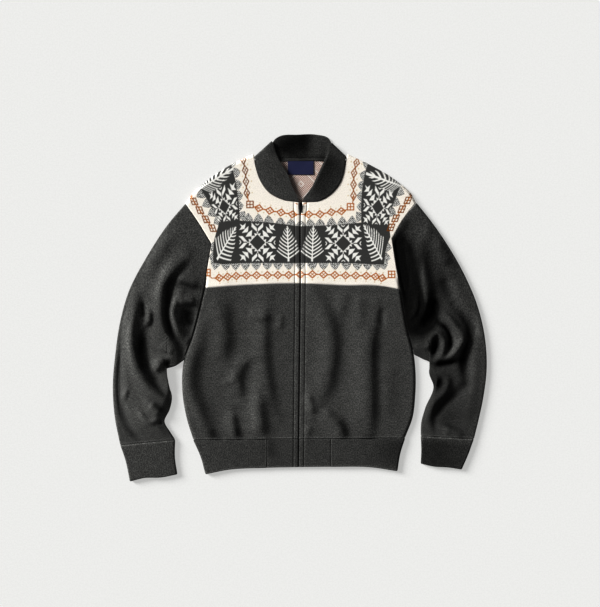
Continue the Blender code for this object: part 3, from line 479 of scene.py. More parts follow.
def across(tangent):
    """The level unit vectors square to the given plan tangents."""
    unit = tangent / np.maximum(np.linalg.norm(tangent, axis=-1, keepdims=True), 1e-9)
    return np.stack([-unit[..., 1], unit[..., 0], np.zeros(unit.shape[:-1])], axis=-1)


Seam = namedtuple("Seam", "tangent share gap", defaults=(None, 1, SEAM))
STEP = 4                # a wall's inner side keeps every fourth row and column

# A grid's edges: the axis that is held, and whether it is the last row or column
EDGES = {"bottom": (0, False), "top": (0, True), "left": (1, False), "right": (1, True)}


def edge_of(name, step=0):
    """The index of a grid's edge, or of the row or column that lies some steps further in."""
    axis, last = EDGES[name]
    return (slice(None),) * axis + (-1 - step if last else step,)


def part_from_seams(mid, seams):
    """Moves edge points half a seam's space into the piece; gives the edges' level normals."""
    inward = {}
    for name, (tangent, share, gap) in seams.items():
        edge, inner = edge_of(name), edge_of(name, 1)
        level = across(np.gradient(mid[edge][:, :2], axis=0) if tangent is None else tangent)
        level *= np.sign(np.sum((mid[inner] - mid[edge]) * level, axis=-1, keepdims=True))
        inward[name] = (edge, level, share, gap)
    for edge, level, _, gap in inward.values():
        mid[edge] += level * gap / 2
    return inward


def grid_faces(rows, columns, start=0):
    """Four-sided faces between the points of a grid that is numbered row by row."""
    i, j = np.meshgrid(np.arange(rows - 1), np.arange(columns - 1), indexing="ij")
    first = i * columns + j + start
    return np.stack([first, first + 1, first + columns + 1, first + columns], axis=-1).reshape(-1, 4)


def rim_faces(outer, inner):
    """Faces along a rim: each joins STEP outer edges to one inner edge."""
    n = np.arange(len(inner) - 1)
    run = outer[(n * STEP)[:, None] + np.arange(STEP, -1, -1)]
    return np.concatenate([run, inner[n][:, None], inner[n + 1][:, None]], axis=1)


def from_edge(mid, name):
    """Distance of every point from one edge of its grid, along the grid's lines."""
    axis, last = EDGES[name]
    line = np.flip(mid, axis) if last else mid
    steps = np.linalg.norm(np.diff(line, axis=axis), axis=-1)
    away = np.insert(np.cumsum(steps, axis=axis), 0, 0, axis=axis)
    return np.flip(away, axis) if last else away


def rounded(mid, seams):
    """How far the outer side sinks beside sewn edges: a square of the distance left to 2.3 mm."""
    sunk = np.zeros(mid.shape[:2])
    for name in seams:
        sunk = np.maximum(sunk, CORNER_SINK * np.clip(1 - from_edge(mid, name) / EDGE[-1], 0, 1) ** 2)
    return sunk


def overlocked(mid, names):
    """How much paler the cloth is beside seams whose overlock thread shows: a bell of the distance."""
    pale = np.zeros(mid.shape[:2])
    for name in names:
        pale = np.maximum(pale, np.exp(-((from_edge(mid, name) - THREAD_IN) / THREAD_SPREAD) ** 2))
    return pale


def wall(name, mid, thick, seams, slots, uv, ring=False, relief=0.0, paint=None, hollows=(), facing=1,
         thread=()):
    """A cloth wall round its middle surface, as a closed mesh.

    The outer side is the middle surface plus its normal times half the thickness and the relief; the
    inner side is the same the other way, on every fourth row and column. Each sewn edge is moved in by
    half its seam, and its outer corner is rounded off. slots are the outer and inner finishes, uv the
    cloth's own millimetres across and up, and paint gives the yarn colour at plan points. hollows paint
    shade on the upper parts in creases, and a painted highlight on lit ridges. facing is 1 where the outer
    side lies upwards and -1 where it lies downwards. thread names the edges beside which the overlock
    thread shows, whose paleness goes into the same attribute as the painted shading.
    """
    mid = mid.copy()
    rims = part_from_seams(mid, seams)
    along = np.concatenate([mid[:, -2:-1], mid, mid[:, 1:2]], axis=1) if ring else mid
    du = np.gradient(along, axis=1)
    du = du[:, 1:-1] if ring else du
    normal = np.cross(du, np.gradient(mid, axis=0))
    turned = normal[:, : mid.shape[1] // 3, 2].sum() * facing < 0
    normal = -normal if turned else normal
    for edge, level, share, _ in rims.values():
        part = normal[edge]
        lean = np.sum(part * level, axis=-1, keepdims=True)
        normal[edge] = part - lean * level * np.reshape(share, (-1, 1))
    normal /= np.linalg.norm(normal, axis=-1, keepdims=True)
    outer = mid + normal * (thick / 2 + relief - rounded(mid, seams))[..., None]
    inner = (mid - normal * thick / 2)[::STEP, ::STEP]
    for side in (outer, inner):
        side[..., 2] = np.maximum(side[..., 2], 0)
    rows, columns = mid.shape[:2]
    few = inner.shape[1]
    out = np.arange(rows * columns).reshape(rows, columns)
    into = rows * columns + np.arange(inner.shape[0] * few).reshape(inner.shape[:2])
    faces = [grid_faces(rows, columns), grid_faces(*inner.shape[:2], start=rows * columns)[:, ::-1],
             rim_faces(out[0], into[0]), rim_faces(out[-1], into[-1])[:, ::-1]]
    if not ring:
        faces += [rim_faces(out[:, 0], into[:, 0])[:, ::-1], rim_faces(out[:, -1], into[:, -1])]
    points = np.concatenate([outer.reshape(-1, 3), inner.reshape(-1, 3)])
    flat = np.concatenate([uv.reshape(-1, 2), uv[::STEP, ::STEP].reshape(-1, 2)])
    kinds = [0, 1] + [0] * (len(faces) - 2)
    slot_of = np.concatenate([np.full(len(group), kind) for group, kind in zip(faces, kinds)])
    if turned:
        faces = [group[:, ::-1] for group in faces]
    piece = new_piece(name, points, faces, slots, slot_of, flat)
    if paint is not None:
        colours = piece.data.color_attributes.new("yarn", "FLOAT_COLOR", "POINT")
        colours.data.foreach_set("color", paint(points[:, :2]).astype(np.float32).ravel())
    if len(hollows):
        # Painted shade in creases and painted highlights on lit ridges, on the upper points only, plus the
        # thread's paleness
        darkness = np.clip(creased(points[:, :2], hollows), BRIGHTEST, 1) * (points[:, 2] > UPPER * thick)
        darkness[:rows * columns] -= THREAD_SHOWS * overlocked(mid, thread).ravel()
        values = piece.data.attributes.new("painted_shading_and_thread", "FLOAT", "POINT").data
        values.foreach_set("value", darkness.astype(np.float32))
    if ring:
        mesh = bmesh.new()
        mesh.from_mesh(piece.data)
        bmesh.ops.remove_doubles(mesh, verts=mesh.verts, dist=1e-7)
        mesh.to_mesh(piece.data)
        mesh.free()
    return piece


def new_piece(name, points, faces, slots, slot_of, flat):
    """A named object with its mesh, finishes and cloth map, riding on the garment."""
    data = bpy.data.meshes.new(name)
    data.from_pydata((points * MM).tolist(), [], [face for group in faces for face in group.tolist()])
    for slot in slots:
        data.materials.append(bpy.data.materials[slot])
    data.polygons.foreach_set("material_index", slot_of.astype(np.int32))
    corner = np.empty(len(data.loops), np.int32)
    data.loops.foreach_get("vertex_index", corner)
    data.uv_layers.new(name="cloth").data.foreach_set("uv", flat[corner].ravel())
    data.shade_smooth()
    data.update()
    piece = bpy.data.objects.new(name, data)
    bpy.context.scene.collection.objects.link(piece)
    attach(piece, "garment")
    return piece


CELL = 0.9              # size of a jacquard mesh cell
PLAIN_CELL = 2.0        # the same for plain jersey
RIB_CELL = 0.8          # the same across ribs
TAB_CELL = 1.5
COLLAR_CELL = 1.6
EDGE = [0, 0.6, 1.3, 2.3]       # rows beside a seam, where the cloth's corner is rounded off
ROLLED = np.radians(np.linspace(0, 90, 9))
WELT_COLUMNS = [0, 0.5, 1.1, 2.0, 3.6, 5.6, 7.6, 8.8, WELT, 10.8, 12.2, 14.2]
BEND = np.radians(np.linspace(0, 180, 11)[1:-1])


def roll(share):
    """Distances from a rolled edge, and heights as a share of full, where share is 1 for a whole roll:
    in plan the roll's radius times 1 less its angle's cosine, in height the angle's sine."""
    share = np.reshape(share, (-1, 1))
    rolled_in = JERSEY / 2 + SEAM / 2 + ROLL * (1 - np.cos(ROLLED))
    flat_in = np.linspace(0, 9, len(ROLLED))
    return share * rolled_in + (1 - share) * flat_in, share * np.sin(ROLLED) + 1 - share


def half(line, side, edge_x):
    """The part of a line across the whole body that lies on one front: from its side to the zip."""
    return line.part(0 if side == "right" else 1, line.share_at(0, edge_x), 241)


def at_level(plan, height):
    """Plan points, all at one height."""
    return np.dstack([plan, np.full(plan.shape[:2], height)])


def by_row(values, shape):
    """One value for each row, spread over a grid's columns."""
    return np.broadcast_to(np.reshape(values, (-1, 1)), shape)


def middle_run(mid):
    """Distances across a grid from its first column, along its middle row."""
    row = mid[len(mid) // 2]
    return np.append(0, np.cumsum(np.linalg.norm(np.diff(row, axis=0), axis=-1)))


def end_seams(edges, along, length, v):
    """The seams at the first and last row of a patch, square to the rows."""
    return {key: Seam(row_tangents(edges, along[i] / length[i], v[i]))
            for key, i in (("bottom", 0), ("top", -1))}


def bent(low, radius):
    """Heights round a fold: a half circle of a radius, down to the lower layer."""
    return low + radius * (1 + np.cos(BEND))


def rows_up(length, cell):
    """Shares up a patch of about one cell each, closer beside its seams."""
    return stations([length], EDGE, EDGE, fitted(length, cell, 2 * len(EDGE)))[0] / length


def front_height(side, points, level=FRONT):
    """Height of a front's middle: its level and creases, which fade towards the zip, less a bell-shaped
    dip where the turned edge is sewn and a round where it turns in beside the zip."""
    from_zip = np.abs(points[..., 0] - zip_x(side, points[..., 1]))
    stitching = STITCH_DIP * np.exp(-((from_zip - WELT) / STITCH_SPREAD) ** 2)
    turned = TURN_DROP * np.clip(1 - from_zip / TURN_WIDTH, 0, 1) ** 2
    return level + creased(points, FRONT_CREASES) * ease(from_zip / (2 * WELT)) - stitching - turned


def front_body(side):
    """Jersey front below the yoke: rolled down at the side, its edge turned in at the zip."""
    bottom = half(through(HEM_SEAM), side, zip_x(side, HEM_AT_ZIP))
    top = half(through(YOKE_SEAM), side, zip_x(side, YOKE_AT_ZIP))
    edges = (through(OUTLINE[side]["side"]), zip_edge(side, bottom.xy[-1, 1], top.xy[-1, 1]), bottom, top)
    v = rows_up(FRONT_LONG, PLAIN_CELL)
    length = lengths(edges, v, 0)
    side_in, fall = roll(np.ones(len(v)))
    count = fitted(length.mean() - 20, PLAIN_CELL, len(ROLLED) + len(WELT_COLUMNS))
    u = stations(length, side_in, WELT_COLUMNS, count) / length[:, None]
    plan = patch(edges, u, by_row(v, u.shape))
    z = front_height(side, plan)
    z[:, : len(ROLLED)] *= fall
    seams = dict.fromkeys(("bottom", "top", "right"), Seam())
    piece = wall(f"front_body_{side}_jersey", np.dstack([plan, z]), JERSEY, seams,
                 (JERSEY_FACE, JERSEY_BACK), plan, hollows=FRONT_PAINTED_SHADING, thread=["bottom"])
    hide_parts(f"front_body_{side}")


def front_yoke(side):
    """Jacquard front yoke, from the yoke seam over to the shoulder line, and cut out at the neck."""
    shape = OUTLINE[side]
    shoulder, neck = through(shape["shoulder"]), through(shape["neck"])
    top = join(shoulder, neck)
    corner = shoulder.length / top.length
    bottom = half(through(YOKE_SEAM), side, zip_x(side, YOKE_AT_ZIP))
    edges = (armhole(side), zip_edge(side, bottom.xy[-1, 1], neck.xy[-1, 1]), bottom, top)
    v_even = np.linspace(0, 1, 41)
    length = lengths(edges, v_even, 0)
    rolled_side = 1 - ease(v_even / 0.16)
    side_in, fall = roll(rolled_side)
    shares = length.mean() * np.array([corner, 1 - corner])
    first = round(shares[0] / CELL) - 9
    second = fitted(shares[1], CELL, 1 + first + len(ROLLED) + len(WELT_COLUMNS))
    to_corner = stations(length * corner, side_in, [0], first)
    to_zip = stations(length * (1 - corner), [0], WELT_COLUMNS, second)[:, 1:]
    u = np.concatenate([to_corner, length[:, None] * corner + to_zip], axis=1) / length[:, None]
    up = lengths(edges, u[-1], 1)
    rolled_top = 1 - ease((u[-1] - corner + 0.05) / 0.09)
    top_in, drop = roll(rolled_top)
    count = fitted(up.mean(), CELL, len(EDGE) + len(ROLLED))
    v = (stations(up, EDGE, top_in, count) / up[:, None]).T
    even = v.mean(axis=1)
    u = np.stack([np.interp(even, v_even, u[:, j]) for j in range(u.shape[1])], axis=1)
    fall = np.stack([np.interp(even, v_even, fall[:, j]) for j in range(len(ROLLED))], axis=1)
    plan = patch(edges, u, v)
    z = front_height(side, plan)
    z[:, : len(ROLLED)] *= fall
    z[-len(ROLLED):] *= drop[:, ::-1].T
    seams = {"bottom": Seam(), "top": Seam(share=1 - rolled_top), "right": Seam(),
             "left": Seam(share=1 - np.interp(even, v_even, rolled_side))}
    piece = wall(f"front_yoke_{side}_jacquard", np.dstack([plan, z]), JERSEY, seams,
                 (JACQUARD_FACE, JACQUARD_BACK), plan, paint=yarn_at)
    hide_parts(f"front_yoke_{side}")


def back_panel(name, edges, finish, rows, columns, corner=None, paint=None, hollows=()):
    """A flat back panel lying outside down, set in from the outline where the fronts roll round it.
    corner gives the shares of its top edge between which it reaches up to the seam."""
    v = np.linspace(0, 1, rows)
    length = lengths(edges, v, 0)
    u = stations(length, [BACK_INSET], [BACK_INSET], columns - 2) / length[:, None]
    up = lengths(edges, u[-1], 1)
    top_in = np.full(len(up), SEAM / 2)
    if corner is not None:
        top_in[(u[-1] < corner[0]) | (u[-1] > corner[1])] = BACK_INSET
    v = (stations(up, [SEAM / 2], top_in[:, None], rows - 2) / up[:, None]).T
    plan = patch(edges, u, v)
    mid = at_level(plan, JERSEY / 2)
    piece = wall(f"{name}_cloth", mid, JERSEY, {}, finish, plan, facing=-1, paint=paint, hollows=hollows)
    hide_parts(name)
    return piece


def back_panels():
    """The back yoke, up to the shoulders and the back neck, and the jersey back below it."""
    right, left = OUTLINE["right"], OUTLINE["left"]
    shoulder_right = through(right["shoulder"]).part(0, 0.97)
    shoulder_left = through(left["shoulder"]).part(0.97, 0)
    top = join(shoulder_right, through(BACK_NECK), shoulder_left)
    ends = (shoulder_right.length / top.length, 1 - shoulder_left.length / top.length)
    yoke_edges = (armhole("right"), armhole("left"), through(YOKE_SEAM), top)
    yoke = back_panel("back_yoke", yoke_edges, (JACQUARD_FACE, JACQUARD_BACK), rows=129, columns=225,
                      corner=ends, paint=yarn_at, hollows=NECK_PAINTED_SHADE)
    body_edges = (through(right["side"]), through(left["side"]), through(HEM_SEAM), through(YOKE_SEAM))
    body = back_panel("back_body", body_edges, (JERSEY_FACE, JERSEY_BACK), rows=65, columns=81)


def tube(edges, cell, edge_level, rise, creases, wall_thick):
    """The middle surface of a flattened tube over a plan patch: its top wall, a fold, its flat
    underside, a fold, and back to where it starts.

    u runs from the outer fold to the inner one, v from the sleeve's top end to its foot. The folds are
    half circles. The top wall stands at edge_level beside them, and rise higher further in.
    """
    up = lengths(edges, np.array([0.5]), 1)[0]
    v = rows_up(up, PLAIN_CELL)
    length = lengths(edges, v, 0)
    low = wall_thick / 2
    radius = (edge_level(v) - low)[:, None] / 2
    inset = radius + wall_thick / 2
    flat = length[:, None] - 2 * inset
    columns = round(flat.mean() / cell)
    columns += -(columns - 1 + 2 * (len(BEND) + 1) + UNDERSIDE - 1) % STEP
    over = stations(flat[:, 0], [0], [0], columns - 2) + inset
    below = stations(flat[:, 0], [0], [0], UNDERSIDE - 2)[:, ::-1] + inset
    along = np.concatenate([over, length[:, None] - inset + radius * np.sin(BEND), below,
                            inset - radius * np.sin(BEND[::-1]), over[:, :1]], axis=1)
    plan = patch(edges, along / length[:, None], by_row(v, along.shape))
    edge_in = np.minimum(over, length[:, None] - over) - inset
    lifted = ease(edge_in / LOFT_REACH + LOFT_START) * (edge_in > 0)
    top = edge_level(v)[:, None] + rise(v)[:, None] * lifted
    top += creased(plan[:, :columns], creases) * ease(edge_in / CREASE_REACH) * ease(v / 0.04)[:, None]
    top = np.maximum(top, 1.15 * wall_thick + low + SEAM)
    bend_z = bent(low, radius)
    z = np.concatenate([top, bend_z, np.full(below.shape, low), bend_z[:, ::-1], top[:, :1]], axis=1)
    mid = np.dstack([plan, z])
    uv = np.dstack([np.broadcast_to(middle_run(mid), along.shape), by_row(-v * up, along.shape)])
    return mid, uv, end_seams(edges, along, length, v), columns


def sleeve_top(side):
    """The line of a sleeve's seam, from the shoulder down the armhole to the underarm, and its last point."""
    body = through(OUTLINE[side]["side"])
    underarm = body.share_at(1, OUTLINE[side]["underarm"])
    return join(armhole(side).part(1, 0), body.part(1, underarm)), tuple(body(np.array([underarm]))[0])


def sleeve(side):
    """A sleeve: a jersey tube from the armhole to the cuff seam, with its creases. Over the first tenth
    its folds come down to their own level, over the first fifth its loft grows, and over the last 0.15
    the loft falls to the cuff's."""
    shape = OUTLINE[side]
    top, underarm = sleeve_top(side)
    inner = through([underarm] + shape["sleeve_inner"])
    edges = (through(shape["sleeve_outer"]), inner, top, through(shape["cuff_seam"]))

    def edge_level(v):
        return SLEEVE_EDGE + (FRONT - SLEEVE_EDGE) * (1 - ease(v / 0.1))

    def rise(v):
        return SLEEVE_LOFT * ease(v / 0.2) + (CUFF_LOFT - SLEEVE_LOFT) * ease((v - 0.85) / 0.15)

    mid, uv, ends, _ = tube(edges, PLAIN_CELL, edge_level, rise, SLEEVE_CREASES[side], JERSEY)
    ends["bottom"] = ends["bottom"]._replace(gap=CORNER_SEAM)
    piece = wall(f"sleeve_{side}_jersey", mid, JERSEY, ends, (JERSEY_FACE, JERSEY_BACK), uv, ring=True,
                 hollows=SLEEVE_PAINTED_SHADING[side], thread=["top"])
    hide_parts(f"sleeve_{side}")


def strip(name, line, from_line, level, thick, finish, hollows=()):
    """A narrow strip along a line: between two distances from it, at one height."""
    out = across(np.gradient(line.xy, axis=0))[:, :2]
    plan = line.xy[:, None] + out[:, None] * np.linspace(*from_line, 5)[:, None]
    mid = at_level(plan, level)
    return wall(name, mid, thick, {}, (finish, finish), plan, hollows=hollows)


def armhole_allowance(side):
    """The turned-in, overlocked edges under an armhole's seam, below the groove."""
    line, _ = sleeve_top(side)
    strip(f"armhole_allowance_{side}", line.part(0.06, 0.97, 81), ARMHOLE_EDGE, ALLOWANCE_LEVEL, ALLOWANCE,
          JERSEY_BACK)


def neck_allowance():
    """The collar's turned-in edge along the back neck, and the chain stitch that holds it."""
    line = through(BACK_NECK).part(0.16, 0.86, 81)
    strip("neck_allowance", line, NECK_EDGE, JERSEY + ALLOWANCE / 2 + 0.1, ALLOWANCE, RIB_KNIT, RIB_PAINTED_SHADING)
    strip("neck_chain_stitch", line, CHAIN_STITCH, JERSEY + ALLOWANCE + 0.3, CHAIN_THREAD, THREAD)


def cuff(side):
    """A doubled rib cuff, as a tube from the sleeve's foot to its open end. Its ribs are a cosine of
    the distance across it."""
    shape = OUTLINE[side]
    edges = [through(shape[name]) for name in ("cuff_outer", "cuff_inner", "cuff_seam", "cuff_edge")]

    def edge_level(v):
        return np.full(len(v), SLEEVE_EDGE)

    def rise(v):
        return np.full(len(v), CUFF_LOFT)

    mid, uv, ends, columns = tube(edges, RIB_CELL, edge_level, rise, [], RIB)
    relief = np.zeros(mid.shape[:2])
    relief[:, :columns] = ribbed(uv[:, :columns, 0])
    relief[:, -1] = relief[:, 0]
    piece = wall(f"cuff_{side}_rib", mid, RIB, ends, (RIB_KNIT, RIB_KNIT), uv, ring=True, relief=relief,
                 hollows=RIB_PAINTED_SHADING, thread=["bottom"])
    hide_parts(f"cuff_{side}")


def ribbed(distance):
    """How far rib cloth stands over its middle: a cosine of the distance across the ribs."""
    size = bpy.context.scene.blouson
    return size.rib_relief / MM * np.cos(2 * np.pi * distance / (size.rib_pitch / MM))


def hem_lines():
    """The hem band's patch: its two sides, the seam above it and its foot."""
    return through(HEM_SIDE["right"]), through(HEM_SIDE["left"]), through(HEM_SEAM), through(HEM_EDGE)


def hem_rib():
    """Doubled rib hem band: one strip from the right tab, round the back, to the left tab."""
    edges = hem_lines()
    v = rows_up(HEM_LONG, PLAIN_CELL)
    length = lengths(edges, v, 0)
    low = RIB / 2
    radius = (HEM_FRONT - low) / 2
    inset = np.full((len(v), 1), radius + RIB / 2)
    tab = {}
    for side in SIDES:
        ends = [edges[2].share_at(0, OUTLINE[side]["hem_tab_top"][0]),
                edges[3].share_at(0, OUTLINE[side]["hem_tab_foot"][0])]
        tab[side] = (length * np.interp(v, [0, 1], ends))[:, None]
    turn = radius * np.sin(BEND)
    run = np.linspace(0, 1, round(tab["right"].mean() / RIB_CELL))
    back = np.linspace(0, 1, 61 + -(2 * len(run) + 61 + 2 * len(BEND) - 1) % STEP)
    far = length[:, None] - inset
    along = np.concatenate([tab["right"] + (inset - tab["right"]) * run, inset - turn,
                            inset + (far - inset) * back, far + turn[::-1],
                            far + (tab["left"] - far) * run], axis=1)
    bend_z = bent(low, radius)
    z = np.concatenate([np.full(len(run), HEM_FRONT), bend_z, np.full(len(back), low), bend_z[::-1],
                        np.full(len(run), HEM_FRONT)])
    plan = patch(edges, along / length[:, None], by_row(v, along.shape))
    mid = np.dstack([plan, np.broadcast_to(z, along.shape)])
    across_mm = np.broadcast_to(middle_run(mid), along.shape)
    relief = ribbed(across_mm)
    relief[:, len(run) + len(BEND):-len(run) - len(BEND)] = 0
    ends = end_seams(edges, along, length, v)
    ends["left"] = ends["right"] = Seam()
    uv = np.dstack([across_mm, by_row(-HEM_LONG * v, along.shape)])
    piece = wall("hem_band_rib", mid, RIB, ends, (RIB_KNIT, RIB_KNIT), uv, relief=relief, hollows=RIB_PAINTED_SHADING,
                 thread=["top", "left"])
    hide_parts("hem_rib")


def hem_tab(side):
    """Plain end of the hem band, between its seam and the zip."""
    shape = OUTLINE[side]
    _, _, seam, foot = hem_lines()
    ends = [(seam, shape["hem_tab_top"], HEM_AT_ZIP), (foot, shape["hem_tab_foot"], FOOT_AT_ZIP)]
    bottom, top = [line.part(line.share_at(0, at[0]), line.share_at(0, zip_x(side, y)))
                   for line, at, y in ends]
    inner = Line(np.array([bottom.xy[0], top.xy[0]]))
    edges = (inner, zip_edge(side, bottom.xy[-1, 1], top.xy[-1, 1]), bottom, top)
    v = rows_up(TAB_LONG, TAB_CELL)
    length = lengths(edges, v, 0)
    count = fitted(length.mean() - 16, TAB_CELL, len(EDGE) + len(WELT_COLUMNS))
    u = stations(length, EDGE, WELT_COLUMNS, count) / length[:, None]
    plan = patch(edges, u, by_row(v, u.shape))
    z = front_height(side, plan, HEM_FRONT)
    seams = dict.fromkeys(EDGES, Seam(gap=2 * SEAM))
    piece = wall(f"hem_tab_{side}_jersey", np.dstack([plan, z]), JERSEY, seams, (JERSEY_FACE, JERSEY_BACK),
                 plan, hollows=RIB_PAINTED_SHADING, thread=["top"])
    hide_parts(f"hem_tab_{side}")


def collar():
    """Doubled rib stand collar: its fronts lie folded over, its back half lies flat, inside up. The
    fronts rise in a sine of the width times a sine of the length; a half circle joins them to the back."""
    low = RIB / 2
    radius = (COLLAR_FRONT - low) / 2
    inset = radius + RIB / 2
    v = rows_up(COLLAR_LONG, COLLAR_CELL)
    strips = {}
    for side in SIDES:
        shape = OUTLINE[side]
        neck = through(shape["neck"])
        seam = neck.part(1, 8 / neck.length, 241)
        edge = through(shape["collar_edge"]).part(1, 0, 241)
        fold = edge.xy[-1] - seam.xy[-1]
        fold /= np.linalg.norm(fold)
        outward = np.array([-fold[1], fold[0]]) * (1 if side == "right" else -1)
        q = np.linspace(0, 1, round(seam.length / RIB_CELL))
        close = ease((q[:, None] - CLOSING) / 0.2)
        seam_points = seam(q) - outward * close * (inset - 0.7)
        edge_points = edge(q) - outward * close * inset
        lying = seam_points + (edge_points - seam_points) * v[:, None, None]
        crown = COLLAR_FRONT + COLLAR_CROWN * np.sin(np.pi * v)[:, None] * np.sin(np.pi * q)
        turn = lying[:, -1:] + outward * radius * np.sin(BEND)[None, :, None]
        fall = np.broadcast_to(bent(low, radius), turn.shape[:2])
        strip = np.concatenate([np.dstack([lying, crown]), np.dstack([turn, fall])], axis=1)
        strips[side] = (strip, seam_points[-1], edge_points[-1], len(q))
    columns = strips["right"][0].shape[1] + strips["left"][0].shape[1]
    share = np.linspace(0, 1, BACK_COLUMNS - (columns + BACK_COLUMNS - 1) % STEP)
    neck, brim = through(BACK_NECK), through(COLLAR_TOP)
    starts, stops = ease(1 - share * MEETING), ease(share * MEETING - MEETING + 1)
    lines = [line(share) + np.outer(starts, strips["right"][k] - line.xy[0])
             + np.outer(stops, strips["left"][k] - line.xy[-1]) for k, line in ((1, neck), (2, brim))]
    plan = lines[0] + (lines[1] - lines[0]) * v[:, None, None]
    back = at_level(plan, low)
    mid = np.concatenate([strips["right"][0], back, strips["left"][0][:, ::-1]], axis=1)
    across_mm = np.broadcast_to(middle_run(mid), mid.shape[:2])
    up_mm = np.append(0, np.cumsum(np.linalg.norm(np.diff(mid, axis=0), axis=-1).mean(axis=1)))
    relief = ribbed(across_mm)
    relief[:, strips["right"][3]:-strips["left"][3]] *= FLATTER
    uv = np.dstack([across_mm, by_row(up_mm, mid.shape[:2])])
    piece = wall("collar_rib", mid, RIB, {"bottom": Seam(gap=3 * SEAM)}, (RIB_KNIT, RIB_KNIT), uv,
                 relief=relief, hollows=RIB_PAINTED_SHADING)
    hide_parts("collar")


def neck_label():
    """Bare woven label: a thin slab with a ripple, the product of a sine across it and one up it."""
    width, height, thick = LABEL
    x, y = LABEL_AT
    across_mm, up_mm = [stations([size], LABEL_EDGE, LABEL_EDGE, count)[0]
                        for size, count in zip((width, height), LABEL_GRID)]
    plan = np.dstack(np.meshgrid(x - width / 2 + across_mm, y - height / 2 + up_mm))
    level = JERSEY + SEAM + thick / 2
    ripple = LABEL_RIPPLE * np.sin(plan[..., 0] / LABEL_WAVES[0]) * np.sin(plan[..., 1] / LABEL_WAVES[1])
    mid = np.dstack([plan, level + LABEL_RIPPLE + ripple])
    piece = wall("neck_label_woven", mid, thick, {}, (LABEL_CLOTH, LABEL_CLOTH), plan - plan[0, 0])
    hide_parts("neck_label")


def zip_tape(side):
    """Plain zip tape under a front's edge, from the neck to the foot of the hem."""
    y = stations([ZIP[-1, 0] - ZIP[0, 0] - sum(TAPE_ENDS)], [0], [0], 179)[0] + ZIP[0, 0] + TAPE_ENDS[0]
    out = np.linspace(TAPE_APART, TAPE_WIDTH, 9) * (1 if side == "left" else -1)
    centre = np.interp(y, ZIP[:, 0], ZIP[:, 1])
    plan = np.dstack([centre[:, None] + out, by_row(y, (len(y), len(out)))])
    mid = at_level(plan, TAPE_LEVEL)
    piece = wall(f"zip_tape_{side}_woven", mid, TAPE, {}, (TAPE_CLOTH, TAPE_CLOTH), plan)
    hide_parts(f"zip_tape_{side}")


# The yoke's chart counts stitches of 2.05 mm: columns run to the wearer's left and rows run down. The
# frame's origin is at column 299.75 of row 308.1. Every table from here to yarn_at is in stitches.
STITCH = 2.05
CHART_ORIGIN = (299.75, 308.1)

# The charcoal band: down over the right shoulder, across under the collar, up over the left shoulder
BAND = [
    (193, 176), (199.5, 187.5), (205, 196), (210, 205), (215.5, 214.5), (219.3, 220), (218, 227),
    (216, 233), (214, 241), (213.2, 250), (213.2, 262.5), (222, 264.3), (240, 263.3), (260, 263),
    (300, 263.2), (330, 263), (355, 263.4), (372, 264.3), (384, 264.7), (385.5, 252), (387.5, 244),
    (390.5, 237), (389, 226), (389.5, 216), (392.5, 206), (396.5, 196), (400.5, 185), (407, 170),
    (373, 150), (366, 169), (364, 178), (362, 190), (361, 205), (361.3, 222.5), (350, 223.8), (335, 225),
    (318, 225.8), (300, 226.3), (290, 225), (270, 222.5), (250, 221.3), (240, 220.5), (239.5, 212),
    (238.5, 200), (237, 190), (235, 178), (232.5, 168), (227, 150),
]
# Eight-pointed stars, each by the corners of its square: upper left, upper right, lower right, lower left
STARS = [
    [(238.6, 222.6), (275.8, 223.2), (276.3, 262), (239, 261.8)],
    [(324.6, 224.6), (361.8, 224.4), (362, 262.4), (324.8, 262.2)],
    [(207.5, 192), (236, 180), (239, 220), (217, 223)],
    [(364, 183), (394.5, 190), (388.5, 226), (362.5, 223.5)],
]
# Firs, each by its foot, its tip, and the ends of its lowest branches to the left and right, seen up the stem
FIRS = [
    ((288.6, 261.5), (287.2, 226), (277, 250), (299.4, 249.6)),
    ((312, 261.5), (313.4, 226), (301, 250.2), (323.6, 250)),
    ((217, 259.5), (236, 227), (216, 237), (231.5, 259.5)),
    ((382, 259.5), (363.5, 225), (371, 260.5), (383, 236)),
    ((200, 188.5), (233.5, 168.5), (196, 176), (212.5, 192.5)),
    ((401, 186), (366, 173.5), (389.5, 192.5), (405.5, 172)),
]
# Chains of rust diamonds: half their length along the chain, half their height across it, and their middles
Chain = namedtuple("Chain", "half tall middles shade", defaults=(1.0,))
CHAINS = [
    Chain(4.8, 4.0, [(258.8, 208.2), (269.8, 210.7), (281, 212.5), (292.5, 214.3)]),
    Chain(4.8, 4.0, [(308.6, 214.4), (320, 214.2), (331.3, 212.2), (341.3, 211.2)]),
    Chain(4.6, 4.1, [(219.3, 277.8), (227.6, 276.8), (236.2, 276), (246.4, 275.5), (256.6, 275.3),
                     (267.4, 275.2), (277.8, 275.1), (288.6, 275), (300.4, 274.5), (312.4, 274.3),
                     (323.6, 274.5), (334.8, 275), (345.6, 275.5), (355.7, 275.6), (366.2, 275.8),
                     (375.4, 276.6), (382, 278)]),
    Chain(5.6, 3.2, [(242.6, 149), (243.2, 159.6), (245.2, 170.2), (246, 181.6), (246.8, 193)], 0.42),
    Chain(5.6, 3.2, [(359, 152), (356.6, 162.8), (354.1, 173), (353.5, 184.5), (353.5, 195.6)], 0.7),
]
# Rust squares with a cross inside, by middle, half width and half height, how far they lean, and their shade
Square = namedtuple("Square", "middle wide tall lean shade", defaults=(1.0,))
EDGE_SQUARES = {0.36: [(188.4, 193), (194, 201.4), (199.8, 210.2), (206, 219.4), (212.4, 228.2)],
                -0.36: [(413.5, 192), (407.8, 200.4), (401.8, 209.2), (395.6, 218.4), (391, 227.4)]}
SQUARES = [
    Square((250, 204.5), 3.2, 3.2, 0.0, 0.6), Square((350.5, 206.8), 3.2, 3.2, 0.0),
    Square((391.6, 274.4), 3.2, 3.2, 0.0), Square((207.2, 272.6), 3.0, 3.2, 0.0),
] + [Square(middle, 2.7, 3.2, lean, 0.5) for lean, middles in EDGE_SQUARES.items() for middle in middles]
